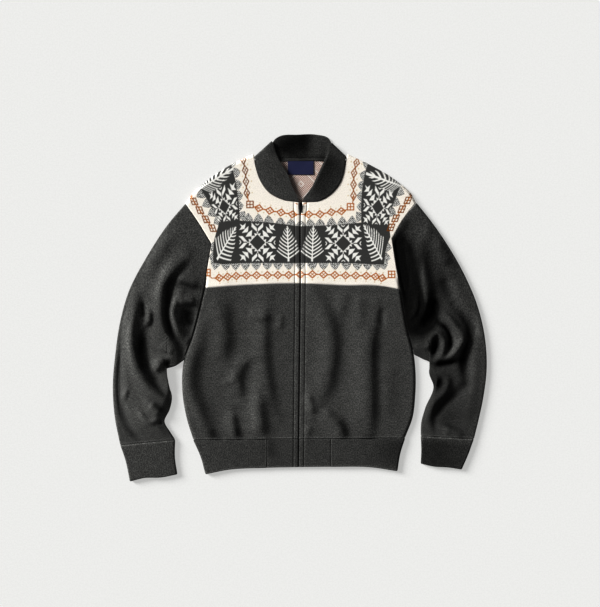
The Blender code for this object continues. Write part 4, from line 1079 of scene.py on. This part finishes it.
# Thin rust lines that link the chains with their corners
LINKS = [
    [(247, 192.4), (248.4, 201.5)], [(353.5, 195.6), (352.6, 203.6)], [(253, 206.5), (258.8, 208.2)],
    [(347.5, 209.5), (341.3, 211.2)], [(219.3, 277.8), (212, 278.2), (208.5, 275.5)],
    [(382, 278), (386.5, 278.4), (389, 277)], [(292.5, 214.3), (308.6, 214.4)], *EDGE_SQUARES.values(),
    [(295.6, 203.2), (297.6, 204.2)], [(303.4, 204.2), (306.4, 203)],
]
# Grey peaks that stand on the band's edge: the middle of the foot, and the tip
UNDER_BAND = (226, 235.6, 245.6, 256.2, 267.4, 278, 288.6, 300.4, 312.4, 323.6, 335, 346.4, 357.4, 367.6,
              377.2)
PEAKS = [((x, 263.2), (x, 270.3)) for x in UNDER_BAND] + [
    ((215.8, 262.5), (214.6, 269.8)), ((383, 264), (384.6, 269.4)), ((248.4, 221.6), (248, 213)),
    ((258.5, 221.8), (258.3, 213.6)), ((268.6, 222.8), (268.4, 215)), ((280.4, 224.2), (280.2, 217)),
    ((291, 225.2), (290.8, 218.6)), ((301, 226.2), (301, 220.4)), ((310.4, 226), (309.4, 218.4)),
    ((320.2, 225.8), (320, 218.6)), ((331.5, 225), (331.3, 217.4)), ((342.4, 224.4), (342.2, 216.4)),
    ((352, 223.8), (352.2, 215.6)), ((240.6, 217), (244.8, 211.4)), ((361, 218), (356.4, 211.8)),
    ((235.4, 172.6), (240.4, 171)), ((237.2, 184.6), (242, 183.6)), ((238.6, 195.6), (243, 194.8)),
    ((239.2, 206), (243.4, 205.4)), ((232, 162), (236.8, 160)), ((202.8, 193.4), (196.6, 197)),
    ((208.6, 202.8), (202.4, 206.2)), ((213.8, 212), (208, 215)), ((218.8, 220.6), (214, 223.4)),
    ((213.2, 247), (208.6, 246.4)), ((213.2, 257), (208.6, 257)), ((364.6, 175.4), (359.6, 174)),
    ((362.6, 185.4), (357.8, 184.6)), ((361.2, 196), (356.8, 195.6)), ((361.2, 206.6), (356.8, 206.4)),
    ((368, 164.4), (363, 162)), ((398.4, 191.4), (404.4, 194.2)), ((394.4, 202), (400, 204.6)),
    ((390.8, 212), (396, 214.6)), ((386.8, 247), (391.6, 247.8)), ((385.2, 257.4), (390.4, 258.6)),
]

# One eighth of a star, in stitches from its middle: the first number runs out towards a point, the second
# to the side. Mirrored round, it gives the petals, the arrowheads on the diagonals and the small darts.
STAR_HALF = 19.0
STAR_EIGHTH = [
    [(10.3, 0.5), (13.8, 0.5), (19.2, 5.9), (15.0, 5.9)],
    [(5.9, 5.9), (12.2, 5.2), (9.4, 9.4)],
    [(9.9, 9.9), (15.9, 8.8), (12.7, 12.7)],
    [(13.0, 13.0), (18.6, 11.8), (16.2, 14.8), (17.8, 17.8)],
    [(6.5, 2.5), (8.4, 0.7), (9.0, 3.3)],
    [(4.5, 3.6), (6.4, 3.3), (6.2, 6.1), (5.0, 5.0)],
    [(8.9, 0), (9.7, 0.9), (10.5, 0)],
    [(16.4, 0), (17.6, 1.9), (18.6, 1.9), (17.4, 0)],
    [(8.0, 0), (9.0, 0), (4.5, 4.5), (4.0, 4.0)],
]
BRANCHES = np.array([1.0, 0.88, 0.82, 0.76, 0.64, 0.47, 0.38, 0.25, 0.13])


def inside(points, corners):
    """Which points lie in a polygon: those from which a ray crosses its edges an odd number of times."""
    x, y = points[..., 0], points[..., 1]
    odd = np.zeros(x.shape, bool)
    for (x0, y0), (x1, y1) in zip(corners, corners[1:] + corners[:1]):
        if y0 != y1:
            odd ^= ((y0 > y) != (y1 > y)) & (x < (x1 - x0) * (y - y0) / (y1 - y0) + x0)
    return odd


def unplaced(points, placed, local):
    """Local places of points, by the perspective map that carries four local points to placed ones."""
    rows = []
    for (u, v), (x, y) in zip(local, placed):
        rows.append([x, y, 1, 0, 0, 0, -u * x, -u * y, u])
        rows.append([0, 0, 0, x, y, 1, -v * x, -v * y, v])
    rows = np.array(rows, float)
    a, b, c, d, e, f, g, h = np.linalg.solve(rows[:, :8], rows[:, 8])
    x, y = points[..., 0], points[..., 1]
    under = g * x + h * y + 1
    return np.stack([(a * x + b * y + c) / under, (d * x + e * y + f) / under], axis=-1), under > 0


def around(points, corners, room):
    """Which points lie in the box round some corners, widened by some room."""
    corners = np.array(corners, float)
    return np.all((points > corners.min(axis=0) - room) & (points < corners.max(axis=0) + room), axis=-1)


def star_share(points, star):
    """Which points lie in a star: folded into one eighth, then in any of its polygons."""
    local, _ = unplaced(points, star, [(-1, 1), (1, 1), (1, -1), (-1, -1)])
    folded = np.sort(np.abs(local * STAR_HALF), axis=-1)[..., ::-1]
    return np.any([inside(folded, shape) for shape in STAR_EIGHTH], axis=0)


def fir_share(points, fir):
    """Which points lie in a fir: in its stem, or near one of nine branches. These rise by their slope
    times 0.72 of the distance from the stem and 0.28 of its square, and the slope grows with the height's
    third power."""
    local, front = unplaced(points, fir, [(0, -1), (0, 1), (-1, -0.38), (1, -0.38)])
    out, up = np.abs(local[..., 0]), local[..., 1]
    stem = (out < 0.055 + 0.03 * (up < -0.84)) & (np.abs(up) < 1)
    slope = 0.43 + 0.33 * np.clip(up + 0.5, 0, 1.5) ** 3
    number = (up - slope * out * (0.72 + 0.28 * out) + 0.84) / 0.2
    nearest = np.clip(np.rint(number), 0, len(BRANCHES) - 1)
    reach = BRANCHES[nearest.astype(int)]
    branch = (np.abs(number - nearest) < 0.21 - 0.03 * (out / reach) ** 2) & (out < reach)
    return (stem | branch) & front & (out < 1.2)


def near_line(points, line, width):
    """Which points lie within half a width of a run of straight lines."""
    line = np.array(line, float)
    found = np.zeros(points.shape[:-1], bool)
    for start, stop in zip(line, line[1:]):
        along = stop - start
        share = np.clip((points - start) @ along / (along @ along), 0, 1)
        found |= np.linalg.norm(points - start - share[..., None] * along, axis=-1) < width / 2
    return found


def chain_ways(chain):
    """A chain's middles, and the way that it runs at each."""
    middles = np.array(chain.middles, float)
    ways = np.gradient(middles, axis=0)
    return middles, ways / np.linalg.norm(ways, axis=1, keepdims=True)


def chain_share(points, chain):
    """Which points lie in a chain: on a diamond's edge, in the cross inside it, or on the linking line."""
    middles, ways = chain_ways(chain)
    found = np.zeros(points.shape[:-1], bool)
    cleared = np.zeros(points.shape[:-1], bool)
    for middle, way in zip(middles, ways):
        away = points - middle
        along, aside = away @ way, away @ np.array([-way[1], way[0]])
        size = np.abs(along) / chain.half + np.abs(aside) / chain.tall
        cleared |= size < 1
        cross = (np.abs(np.abs(along) / chain.half - np.abs(aside) / chain.tall) < 0.11) & (size < 0.9)
        found |= (np.abs(size - 0.87) < 0.19) | cross
    return found | (near_line(points, middles, 1.2) & ~cleared)


def fleck_share(points, chain):
    """Which points lie in the small dots beside a chain: 5.4 stitches above and below each diamond's
    middle, and 3.2 above and below each link's."""
    middles, ways = chain_ways(chain)
    aside = np.stack([-ways[:, 1], ways[:, 0]], axis=1)
    between = middles[:-1] + np.diff(middles, axis=0) / 2
    dots = [middle + sign * way * 5.4 for sign in (-1, 1) for middle, way in zip(middles, aside)]
    dots += [middle + sign * way * 3.2 for sign in (-1, 1) for middle, way in zip(between, aside)]
    found = np.zeros(points.shape[:-1], bool)
    for dot in dots:
        found |= np.abs(points - dot).sum(axis=-1) < 0.85
    return found


def square_share(points, square):
    """Which points lie in a leaning square's edge or in the cross inside it."""
    away = points - np.array(square.middle)
    x, y = np.abs(away[..., 0] - square.lean * away[..., 1]), np.abs(away[..., 1])
    edge = np.maximum(x - square.wide, y - square.tall)
    return (np.abs(edge) < 0.55) | ((np.minimum(x, y) < 0.45) & (edge < 0))


def peak_share(points, peak):
    """Which points lie in a peak: its half width falls from 4.9 at the foot with the height's 1.6th power."""
    foot, tip = np.array(peak)
    way = tip - foot
    height = np.linalg.norm(way)
    way /= height
    away = points - foot
    up, aside = away @ way, np.abs(away @ np.array([-way[1], way[0]]))
    return (up > -1.5) & (aside < 4.9 * (1 - np.clip(up / height, 0, 1) ** 1.6)) & (up < height)


def yarn_once(chart):
    """The yarn at chart points: its colour, and 0 in the fourth place where two yarns alternate."""
    size = bpy.context.scene.blouson
    yarn = np.ones((len(chart), 4))
    yarn[:, :3] = size.cream

    def lay(found, colour, alpha=1.0):
        yarn[found, :3] = colour
        yarn[found, 3] = alpha

    def lay_near(room, corners, share, shape, colour, alpha=1.0):
        near = np.flatnonzero(around(chart, corners, room))
        if len(near):
            lay(near[share(chart[near], shape)], colour, alpha)

    for peak in PEAKS:
        lay_near(6, peak, peak_share, peak, size.charcoal_light, 0.0)
    lay(inside(chart, BAND), 0.8 * np.array(size.charcoal) + 0.2 * np.array(size.charcoal_light))
    for star in STARS:
        lay_near(1, star, star_share, star, size.motif)
    for fir in FIRS:
        lay_near(4, fir, fir_share, fir, size.motif)
    in_band = inside(chart, BAND)
    for chain in CHAINS:
        near = np.flatnonzero(around(chart, chain.middles, 7) & ~in_band)
        lay(near[fleck_share(chart[near], chain)], size.beige)
        lay(near[chain_share(chart[near], chain)], chain.shade * np.array(size.orange))
    for square in SQUARES:
        lay_near(6, [square.middle], square_share, square, square.shade * np.array(size.orange))
    for link in LINKS:
        near = np.flatnonzero(around(chart, link, 2))
        lay(near[near_line(chart[near], link, 0.9)], size.orange)
    return yarn


def yarn_at(plan):
    """The yarn at plan points in millimetres: the mean over four places a third of a stitch apart."""
    chart = np.stack([plan[:, 0] / STITCH + CHART_ORIGIN[0], CHART_ORIGIN[1] - plan[:, 1] / STITCH], axis=-1)
    offsets = [(-0.16, -0.16), (0.16, -0.16), (-0.16, 0.16), (0.16, 0.16)]
    return np.mean([yarn_once(chart + offset) for offset in offsets], axis=0)


def linear(hex_colour):
    """The linear colour of an sRGB hex value."""
    srgb = np.array([int(hex_colour[i:i + 2], 16) for i in (1, 3, 5)]) / 255
    return tuple(np.where(srgb <= 0.04045, srgb / 12.92, ((srgb + 0.055) / 1.055) ** 2.4))


class BlousonSettings(PropertyGroup):
    """Sizes and colours of the blouson's cloth."""

    wale: FloatProperty(
        name="Stitch width", description="Width of one jersey stitch", default=0.0018, unit="LENGTH")
    course: FloatProperty(
        name="Stitch height", description="Height of one jersey stitch", default=0.0014, unit="LENGTH")
    rib_pitch: FloatProperty(
        name="Rib pitch", description="From one rib to the next", default=0.005, unit="LENGTH")
    rib_relief: FloatProperty(
        name="Rib relief", description="How far a rib stands out", default=0.00006, unit="LENGTH")
    charcoal: FloatVectorProperty(
        name="Charcoal", description="Main heather yarn", default=linear("#3c3c3b"), subtype="COLOR")
    charcoal_light: FloatVectorProperty(
        name="Light heather", description="Pale fibres in the charcoal yarn", default=linear("#6a6a67"),
        subtype="COLOR")
    cream: FloatVectorProperty(
        name="Cream", description="Ground of the yoke", default=linear("#f4eee4"), subtype="COLOR")
    motif: FloatVectorProperty(
        name="Off-white", description="Stars and firs", default=linear("#eeede8"), subtype="COLOR")
    orange: FloatVectorProperty(
        name="Rust", description="Chains of diamonds", default=linear("#b56d1c"), subtype="COLOR")
    beige: FloatVectorProperty(
        name="Beige", description="Small dots beside the chains", default=linear("#d9c7a6"), subtype="COLOR")
    navy: FloatVectorProperty(
        name="Navy", description="Neck label", default=linear("#2f3354"), subtype="COLOR")
    sky: FloatProperty(name="Sky", description="Strength of the even light from all round", default=0.26)
    key_light: FloatProperty(
        name="Key light", description="Strength of the broad light from the upper left", default=7.6)


def node(tree, kind, *values, inputs=(), output=0, **settings):
    """Adds a shader node with its settings, and gives one of its outputs. The values go to its inputs in
    order and inputs names others; each is a socket to link from or a plain value."""
    made = tree.nodes.new("ShaderNode" + kind)
    for name, value in settings.items():
        setattr(made, name, value)
    for key, value in {**dict(enumerate(values)), **dict(inputs)}.items():
        if isinstance(value, bpy.types.NodeSocket):
            tree.links.new(value, made.inputs[key])
        else:
            made.inputs[key].default_value = value
    return made.outputs[output]


def cloth_place(tree):
    """A place's millimetres across and up the cloth."""
    return node(tree, "SeparateXYZ", node(tree, "UVMap", uv_map="cloth")).node.outputs


def stitches(tree, wale, course):
    """Height of plain knit from 0 to 1, and the stitch numbers across and up.

    Each stitch is a pair of legs that lean apart: across it a sine that is 0 in the middle and at both
    sides, and up it a sine whose phase falls with the distance from the middle.
    """
    place = cloth_place(tree)
    x = node(tree, "Math", place[0], wale / MM, operation="DIVIDE")
    y = node(tree, "Math", place[1], course / MM, operation="DIVIDE")
    in_stitch = node(tree, "Math", x, operation="FRACT")
    from_middle = node(tree, "Math", in_stitch, 0.5, operation="SUBTRACT")
    away = node(tree, "Math", from_middle, operation="ABSOLUTE")
    angle = node(tree, "Math", away, 2 * np.pi, operation="MULTIPLY")
    wave = node(tree, "Math", angle, operation="SINE")
    hump = node(tree, "Math", wave, operation="ABSOLUTE")
    leg = node(tree, "Math", hump, operation="SQRT")
    drop = node(tree, "Math", away, 1.3, operation="MULTIPLY")
    up = node(tree, "Math", y, drop, operation="SUBTRACT")
    lean = node(tree, "Math", up, operation="FRACT")
    turn = node(tree, "Math", lean, np.pi, operation="MULTIPLY")
    yarn = node(tree, "Math", turn, operation="SINE")
    return node(tree, "Math", leg, yarn, operation="MULTIPLY"), x, y


def speckle(tree, size, detail=2.0, stretch=(1, 1, 1)):
    """Noise over the cloth with features of a size in millimetres."""
    cloth = node(tree, "UVMap", uv_map="cloth")
    placed = node(tree, "Mapping", inputs={"Vector": cloth, "Scale": stretch})
    return node(tree, "TexNoise", output="Fac",
                inputs={"Vector": placed, "Scale": 1 / size, "Detail": detail, "Roughness": 0.6})


def finish(name, roughness, sheen=0.0, metallic=0.0, **more):
    """A new material with its shader's plain values, and its node tree."""
    made = bpy.data.materials.new(name)
    made.use_nodes = True
    shader = made.node_tree.nodes["Principled BSDF"]
    values = {"Roughness": roughness, "Metallic": metallic, "Sheen Weight": sheen, "Sheen Roughness": 0.5,
              "Specular IOR Level": 0.5 if metallic else 0.2, **more}
    for key, value in values.items():
        shader.inputs[key].default_value = value
    return made.node_tree, shader


def solid(colour):
    """A colour with full alpha."""
    return (*colour, 1)


def shaded(tree, shader, colour, shade):
    """Gives a finish its colour times a shade."""
    scaled = node(tree, "VectorMath", colour, inputs={"Scale": shade}, operation="SCALE")
    tree.links.new(scaled, shader.inputs["Base Color"])


def grain_at(tree, scale, detail):
    """Noise over an object's own space."""
    place = node(tree, "TexCoord", output="Object")
    return node(tree, "TexNoise", output="Fac", inputs={"Vector": place, "Scale": scale, "Detail": detail})


def raise_stitches(tree, shader, height, depth, strength=0.7):
    """Bump from a height that stands for a depth in millimetres."""
    bump = node(tree, "Bump", inputs={"Height": height, "Distance": depth * MM, "Strength": strength})
    tree.links.new(bump, shader.inputs["Normal"])


# Settings for a range that is eased at both ends, and for a mix of the colours in inputs 6 and 7
EASED = {"interpolation_type": "SMOOTHSTEP"}
COLOURS = {"data_type": "RGBA", "output": 2}


def charcoal_knit(name, wale, course, depth):
    """Charcoal heather yarn: dark and pale wool carded together, so every few stitches differ, with
    fibres that stand off the cloth and give it a dull, slightly furry face."""
    size = bpy.context.scene.blouson
    tree, shader = finish(name, 0.92, sheen=0.03)
    height, _, _ = stitches(tree, wale, course)
    flecks = node(tree, "MapRange", speckle(tree, 2.4, 2, (1.3, 0.8, 1)), 0.36, 0.70, 0.0, 0.9, **EASED)
    clouds = node(tree, "MapRange", speckle(tree, 14, 4), 0.3, 0.7, 0.86, 1.10, **EASED)
    yarns = {6: solid(size.charcoal), 7: solid(size.charcoal_light)}
    yarn = node(tree, "Mix", flecks, inputs=yarns, **COLOURS)
    # Painted shade between the stitches: the colour darkens in the dips of the knit and lightens a little on
    # its tops
    relief = node(tree, "MapRange", height, 0, 0.8, 0.72, 1.06, **EASED)
    tone_and_stitch_shade = node(tree, "Math", clouds, relief, operation="MULTIPLY")
    # Painted shading from the mesh, with the thread's paleness: darker where folds would shade the cloth,
    # lighter on lit ridges, and less gloss in the painted shade
    painted_shading_and_thread = node(tree, "Attribute", attribute_name="painted_shading_and_thread", output="Fac")
    dark = node(tree, "Math", painted_shading_and_thread, 0.9, operation="MULTIPLY")
    light = node(tree, "Math", 1.0, dark, operation="SUBTRACT")
    shaded(tree, shader, yarn, node(tree, "Math", tone_and_stitch_shade, light, operation="MULTIPLY"))
    gloss_under_painted_shade = node(tree, "MapRange", painted_shading_and_thread, 0.3, 1, 0.2, 0.0, **EASED)
    tree.links.new(gloss_under_painted_shade, shader.inputs["Specular IOR Level"])
    raise_stitches(tree, shader, height, depth)


JERSEY_FACE = "Wool heather jersey, face"
JERSEY_BACK = "Wool heather jersey, purl side"
RIB_KNIT = "Wool heather rib, doubled"
JACQUARD_FACE = "Wool jacquard knit, face"
JACQUARD_BACK = "Wool jacquard knit, bird's-eye back"
LABEL_CLOTH = "Polyester satin, woven"
TAPE_CLOTH = "Polyester zip tape, herringbone woven"
METAL = "Zinc alloy, die cast and blackened"
THREAD = "Polyester thread, spun"
FLOOR = "Opal acrylic light table"

DIAMOND_AT = (2.6, 255)     # middle of the pale diamonds on the jacquard's back
DIAMOND = 5.5           # half width of the first
DIAMOND_STEP = 26       # from one to the next


def parity(tree, x, y):
    """1 on every other stitch, as on a draughts board."""
    column, row = [node(tree, "Math", number, operation="FLOOR") for number in (x, y)]
    squares = node(tree, "Math", column, row, operation="ADD")
    halves = node(tree, "Math", squares, 0.5, operation="MULTIPLY")
    left_over = node(tree, "Math", halves, operation="FRACT")
    return node(tree, "Math", left_over, 0.25, operation="GREATER_THAN")


def jacquard_face():
    """Jacquard knit in several yarns. The yarn of each place comes from the mesh; where its alpha is 0,
    charcoal and off-white alternate stitch by stitch, which the eye reads as grey."""
    size = bpy.context.scene.blouson
    tree, shader = finish(JACQUARD_FACE, 0.9, sheen=0.08)
    height, x, y = stitches(tree, size.wale * 1.15, size.course * 1.25)
    yarn = node(tree, "Attribute", attribute_name="yarn").node.outputs
    loose = node(tree, "Math", speckle(tree, 2.6, 1), 0.8, operation="MULTIPLY")
    strict = node(tree, "Math", parity(tree, x, y), 0.2, operation="MULTIPLY")
    mixed = node(tree, "Math", loose, strict, operation="ADD")
    pale = node(tree, "MapRange", mixed, 0.46, 0.60, **EASED)
    birdseye = node(tree, "Mix", pale, inputs={6: solid(size.charcoal), 7: solid(size.motif)}, **COLOURS)
    colour = node(tree, "Mix", yarn["Alpha"], inputs={6: birdseye, 7: yarn["Color"]}, **COLOURS)
    uneven = node(tree, "MapRange", speckle(tree, 2.2, 3), 0.3, 0.7, 0.90, 1.04, **EASED)
    # Painted shade between the stitches: darker in the dips of the knit, a little lighter on its tops
    relief = node(tree, "MapRange", height, 0, 0.8, 0.80, 1.03, **EASED)
    shaded(tree, shader, colour, node(tree, "Math", uneven, relief, operation="MULTIPLY"))
    raise_stitches(tree, shader, height, 0.3)


def jacquard_back():
    """Back of the jacquard: every yarn is caught in turn, so light, dark and rust stitches alternate
    in slanting rows."""
    size = bpy.context.scene.blouson
    tree, shader = finish(JACQUARD_BACK, 0.92, sheen=0.08)
    height, x, y = stitches(tree, size.wale * 1.3, size.course * 1.6)
    pales = {6: solid(linear("#fbf5ee")), 7: solid(linear("#c39a84"))}
    light = node(tree, "Mix", speckle(tree, 1.4, 1), inputs=pales, **COLOURS)
    stripes = {6: solid(linear("#94807a")), 7: light}
    colour = node(tree, "Mix", parity(tree, x, y), inputs=stripes, **COLOURS)
    place = cloth_place(tree)
    steps = [node(tree, "Math", place[k], at, operation="SUBTRACT") for k, at in enumerate(DIAMOND_AT)]
    apart = [node(tree, "Math", step, operation="ABSOLUTE") for step in steps]
    distance = node(tree, "Math", *apart, operation="ADD")
    from_first = node(tree, "Math", distance, DIAMOND, operation="SUBTRACT")
    away = node(tree, "Math", from_first, DIAMOND_STEP / 2, operation="PINGPONG")
    diamond = node(tree, "MapRange", away, 0.8, 2.4, 0.55, 0.0, **EASED)
    colour = node(tree, "Mix", diamond, inputs={6: colour, 7: solid(size.motif)}, **COLOURS)
    # Painted shade from the mesh where the collar shades the yoke's inside, and painted shade in the dips
    # between stitches
    painted_shading_and_thread = node(tree, "Attribute", attribute_name="painted_shading_and_thread", output="Fac")
    lit = node(tree, "Math", 1.0, painted_shading_and_thread, operation="SUBTRACT")
    relief = node(tree, "MapRange", height, 0, 0.8, 0.8, 1.05, **EASED)
    shaded(tree, shader, colour, node(tree, "Math", relief, lit, operation="MULTIPLY"))
    raise_stitches(tree, shader, height, 0.3)


def woven(name, colour, pitch, roughness, sheen=0.0):
    """Woven cloth: threads of one pitch cross over and under, as the product of two sines whose phase
    shifts by a third from thread to thread, so the weave runs slantwise."""
    tree, shader = finish(name, roughness, sheen=sheen)
    place = cloth_place(tree)
    x, y = [node(tree, "Math", place[k], np.pi / pitch, operation="MULTIPLY") for k in (0, 1)]
    shift = node(tree, "Math", x, 0.66, operation="MULTIPLY")
    slant = node(tree, "Math", shift, y, operation="ADD")
    waves = [node(tree, "Math", angle, operation="SINE") for angle in (x, slant)]
    threads = [node(tree, "Math", wave, operation="ABSOLUTE") for wave in waves]
    height = node(tree, "Math", *threads, operation="MULTIPLY")
    # Painted shade and highlight on the weave: darker where threads dip, lighter where they cross over
    shaded(tree, shader, (*colour,), node(tree, "MapRange", height, 0, 1, 0.75, 1.15, **EASED))
    raise_stitches(tree, shader, height, 0.12)


def blackened_metal():
    """Die-cast zinc, blackened: near black in the hollows, grey where handling has worn the colour."""
    tree, shader = finish(METAL, 0.38, metallic=1.0)
    grain = grain_at(tree, 900.0, 3.0)
    worn = node(tree, "MapRange", grain, 0.35, 0.7, **EASED)
    greys = {6: solid(linear("#1b1b1d")), 7: solid(linear("#4a4a4d"))}
    tree.links.new(node(tree, "Mix", worn, inputs=greys, **COLOURS), shader.inputs["Base Color"])
    rough = node(tree, "MapRange", grain, 0.3, 0.7, 0.3, 0.5, **EASED)
    tree.links.new(rough, shader.inputs["Roughness"])
    raise_stitches(tree, shader, grain, 0.02, 0.4)


def plain(name, colour, roughness, grain_mm, glow=(0, 0, 0)):
    """A plain finish with a fine grain in its colour, and the light that it gives off where it is lit
    from behind."""
    tree, shader = finish(name, roughness, **{"Emission Color": solid(glow), "Emission Strength": 1.0})
    grain = node(tree, "MapRange", grain_at(tree, 1000 / grain_mm, 2.0), 0.3, 0.7, **EASED)
    tones = {6: solid(0.94 * c for c in colour), 7: solid(min(1, 1.04 * c) for c in colour)}
    tree.links.new(node(tree, "Mix", grain, inputs=tones, **COLOURS), shader.inputs["Base Color"])


class BLOUSON_OT_spin_yarns(Operator):
    """Makes the finishes of the cloth, the zip, the thread and the backdrop"""
    bl_idname = "blouson.spin_yarns"
    bl_label = "Spin the yarns"

    def execute(self, context):
        size = context.scene.blouson
        charcoal_knit(JERSEY_FACE, size.wale, size.course, 0.30)
        charcoal_knit(JERSEY_BACK, size.wale, size.course * 0.8, 0.20)
        charcoal_knit(RIB_KNIT, size.wale * 0.8, size.course * 0.9, 0.25)
        jacquard_face()
        jacquard_back()
        woven(LABEL_CLOTH, tuple(size.navy), 0.5, 0.45, sheen=0.1)
        woven(TAPE_CLOTH, linear("#191919"), 0.7, 0.8)
        blackened_metal()
        plain(THREAD, linear("#5f5f5d"), 0.8, 0.4)
        plain(FLOOR, linear("#959594"), 0.95, 3.0, glow=(0.520, 0.520, 0.512))
        return {"FINISHED"}


class BLOUSON_OT_lay_back(Operator):
    """Lays the back yoke and the jersey back on the surface"""
    bl_idname = "blouson.lay_back"
    bl_label = "Lay the back"

    def execute(self, context):
        back_panels()
        return {"FINISHED"}


class BLOUSON_OT_sew_yokes(Operator):
    """Makes the two patterned front yokes"""
    bl_idname = "blouson.sew_yokes"
    bl_label = "Sew the front yokes"

    def execute(self, context):
        for side in SIDES:
            front_yoke(side)
        return {"FINISHED"}


class BLOUSON_OT_sew_fronts(Operator):
    """Makes the two jersey fronts below the yokes"""
    bl_idname = "blouson.sew_fronts"
    bl_label = "Sew the fronts"

    def execute(self, context):
        for side in SIDES:
            front_body(side)
        return {"FINISHED"}


class BLOUSON_OT_sew_sleeves(Operator):
    """Makes the two sleeves with their creases, and the edges turned in under their armholes"""
    bl_idname = "blouson.sew_sleeves"
    bl_label = "Sew the sleeves"

    def execute(self, context):
        for side in SIDES:
            sleeve(side)
            armhole_allowance(side)
        return {"FINISHED"}


class BLOUSON_OT_knit_ribs(Operator):
    """Makes the rib cuffs, hem band and collar, and the hem band's plain ends"""
    bl_idname = "blouson.knit_ribs"
    bl_label = "Knit the ribs"

    def execute(self, context):
        for side in SIDES:
            cuff(side)
            hem_tab(side)
        hem_rib()
        collar()
        neck_allowance()
        return {"FINISHED"}


class BLOUSON_OT_sew_label(Operator):
    """Makes the bare neck label"""
    bl_idname = "blouson.sew_label"
    bl_label = "Sew the label"

    def execute(self, context):
        neck_label()
        return {"FINISHED"}


class BLOUSON_OT_fit_zip(Operator):
    """Makes the zip's tapes and gives its slider and pull tab their metal"""
    bl_idname = "blouson.fit_zip"
    bl_label = "Fit the zip"

    def execute(self, context):
        for side in SIDES:
            zip_tape(side)
        for name in ("zip_slider", "pull_tab"):
            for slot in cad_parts[name].material_slots:
                slot.material = bpy.data.materials[METAL]
        return {"FINISHED"}


class BLOUSON_OT_set_stage(Operator):
    """Sets the pale floor, the soft light from the upper left and the camera straight above"""
    bl_idname = "blouson.set_stage"
    bl_label = "Set the stage"

    def execute(self, context):
        stage(context.scene)
        return {"FINISHED"}


STEPS = (BLOUSON_OT_spin_yarns, BLOUSON_OT_lay_back, BLOUSON_OT_sew_yokes, BLOUSON_OT_sew_fronts,
         BLOUSON_OT_sew_sleeves, BLOUSON_OT_knit_ribs, BLOUSON_OT_sew_label, BLOUSON_OT_fit_zip,
         BLOUSON_OT_set_stage)


class BLOUSON_PT_panel(Panel):
    """The blouson's sizes, colours and steps in the sidebar"""
    bl_idname = "BLOUSON_PT_panel"
    bl_label = "Knit blouson"
    bl_space_type = "VIEW_3D"
    bl_region_type = "UI"
    bl_category = "Blouson"

    def draw(self, context):
        for name in BlousonSettings.__annotations__:
            self.layout.prop(context.scene.blouson, name)
        for step in STEPS:
            self.layout.operator(step.bl_idname)


CLASSES = (BlousonSettings, *STEPS, BLOUSON_PT_panel)


def register():
    for item in CLASSES:
        bpy.utils.register_class(item)
    bpy.types.Scene.blouson = PointerProperty(type=BlousonSettings)


def unregister():
    del bpy.types.Scene.blouson
    for item in reversed(CLASSES):
        bpy.utils.unregister_class(item)


def stage(scene):
    """A floor under the whole view, an even sky, a broad low sun from the upper left, and a camera
    whose lens covers the photograph's frame: sensor size times distance over the frame's longer side."""
    size = scene.blouson
    corners = ((-1, -1), (1, -1), (1, 1), (-1, 1))
    points = np.array([(x * FLOOR_REACH, y * FLOOR_REACH, FLOOR_LEVEL) for x, y in corners], float)
    data = bpy.data.meshes.new("floor")
    data.from_pydata((points * MM).tolist(), [], [(0, 1, 2, 3)])
    data.materials.append(bpy.data.materials[FLOOR])
    floor = bpy.data.objects.new("floor", data)
    scene.collection.objects.link(floor)
    world = bpy.data.worlds.new("studio")
    world.use_nodes = True
    sky = world.node_tree.nodes["Background"]
    sky.inputs["Color"].default_value = (1, 1, 1, 1)
    sky.inputs["Strength"].default_value = size.sky
    scene.world = world
    light = bpy.data.lights.new("window", "SUN")
    light.energy = size.key_light
    light.angle = np.radians(LIGHT_SPREAD)
    window = bpy.data.objects.new("window", light)
    window.rotation_euler = np.radians((0, -LIGHT_TILT, -LIGHT_TURN))
    scene.collection.objects.link(window)
    lens = bpy.data.cameras.new("camera")
    lens.sensor_width = SENSOR
    lens.lens = SENSOR * (CAMERA_HEIGHT - FOCUS_LEVEL) / FRAME_SIDE
    camera = bpy.data.objects.new("camera", lens)
    camera.location = np.array([*CAMERA_AT, CAMERA_HEIGHT]) * MM
    scene.collection.objects.link(camera)
    scene.camera = camera
    scene.view_settings.view_transform = "Standard"
    scene.view_settings.gamma = PRINT_GAMMA


def main():
    """Runs every step in order."""
    register()
    for step in STEPS:
        group, action = step.bl_idname.split(".")
        getattr(getattr(bpy.ops, group), action)()


if __name__ == "__main__":
    main()
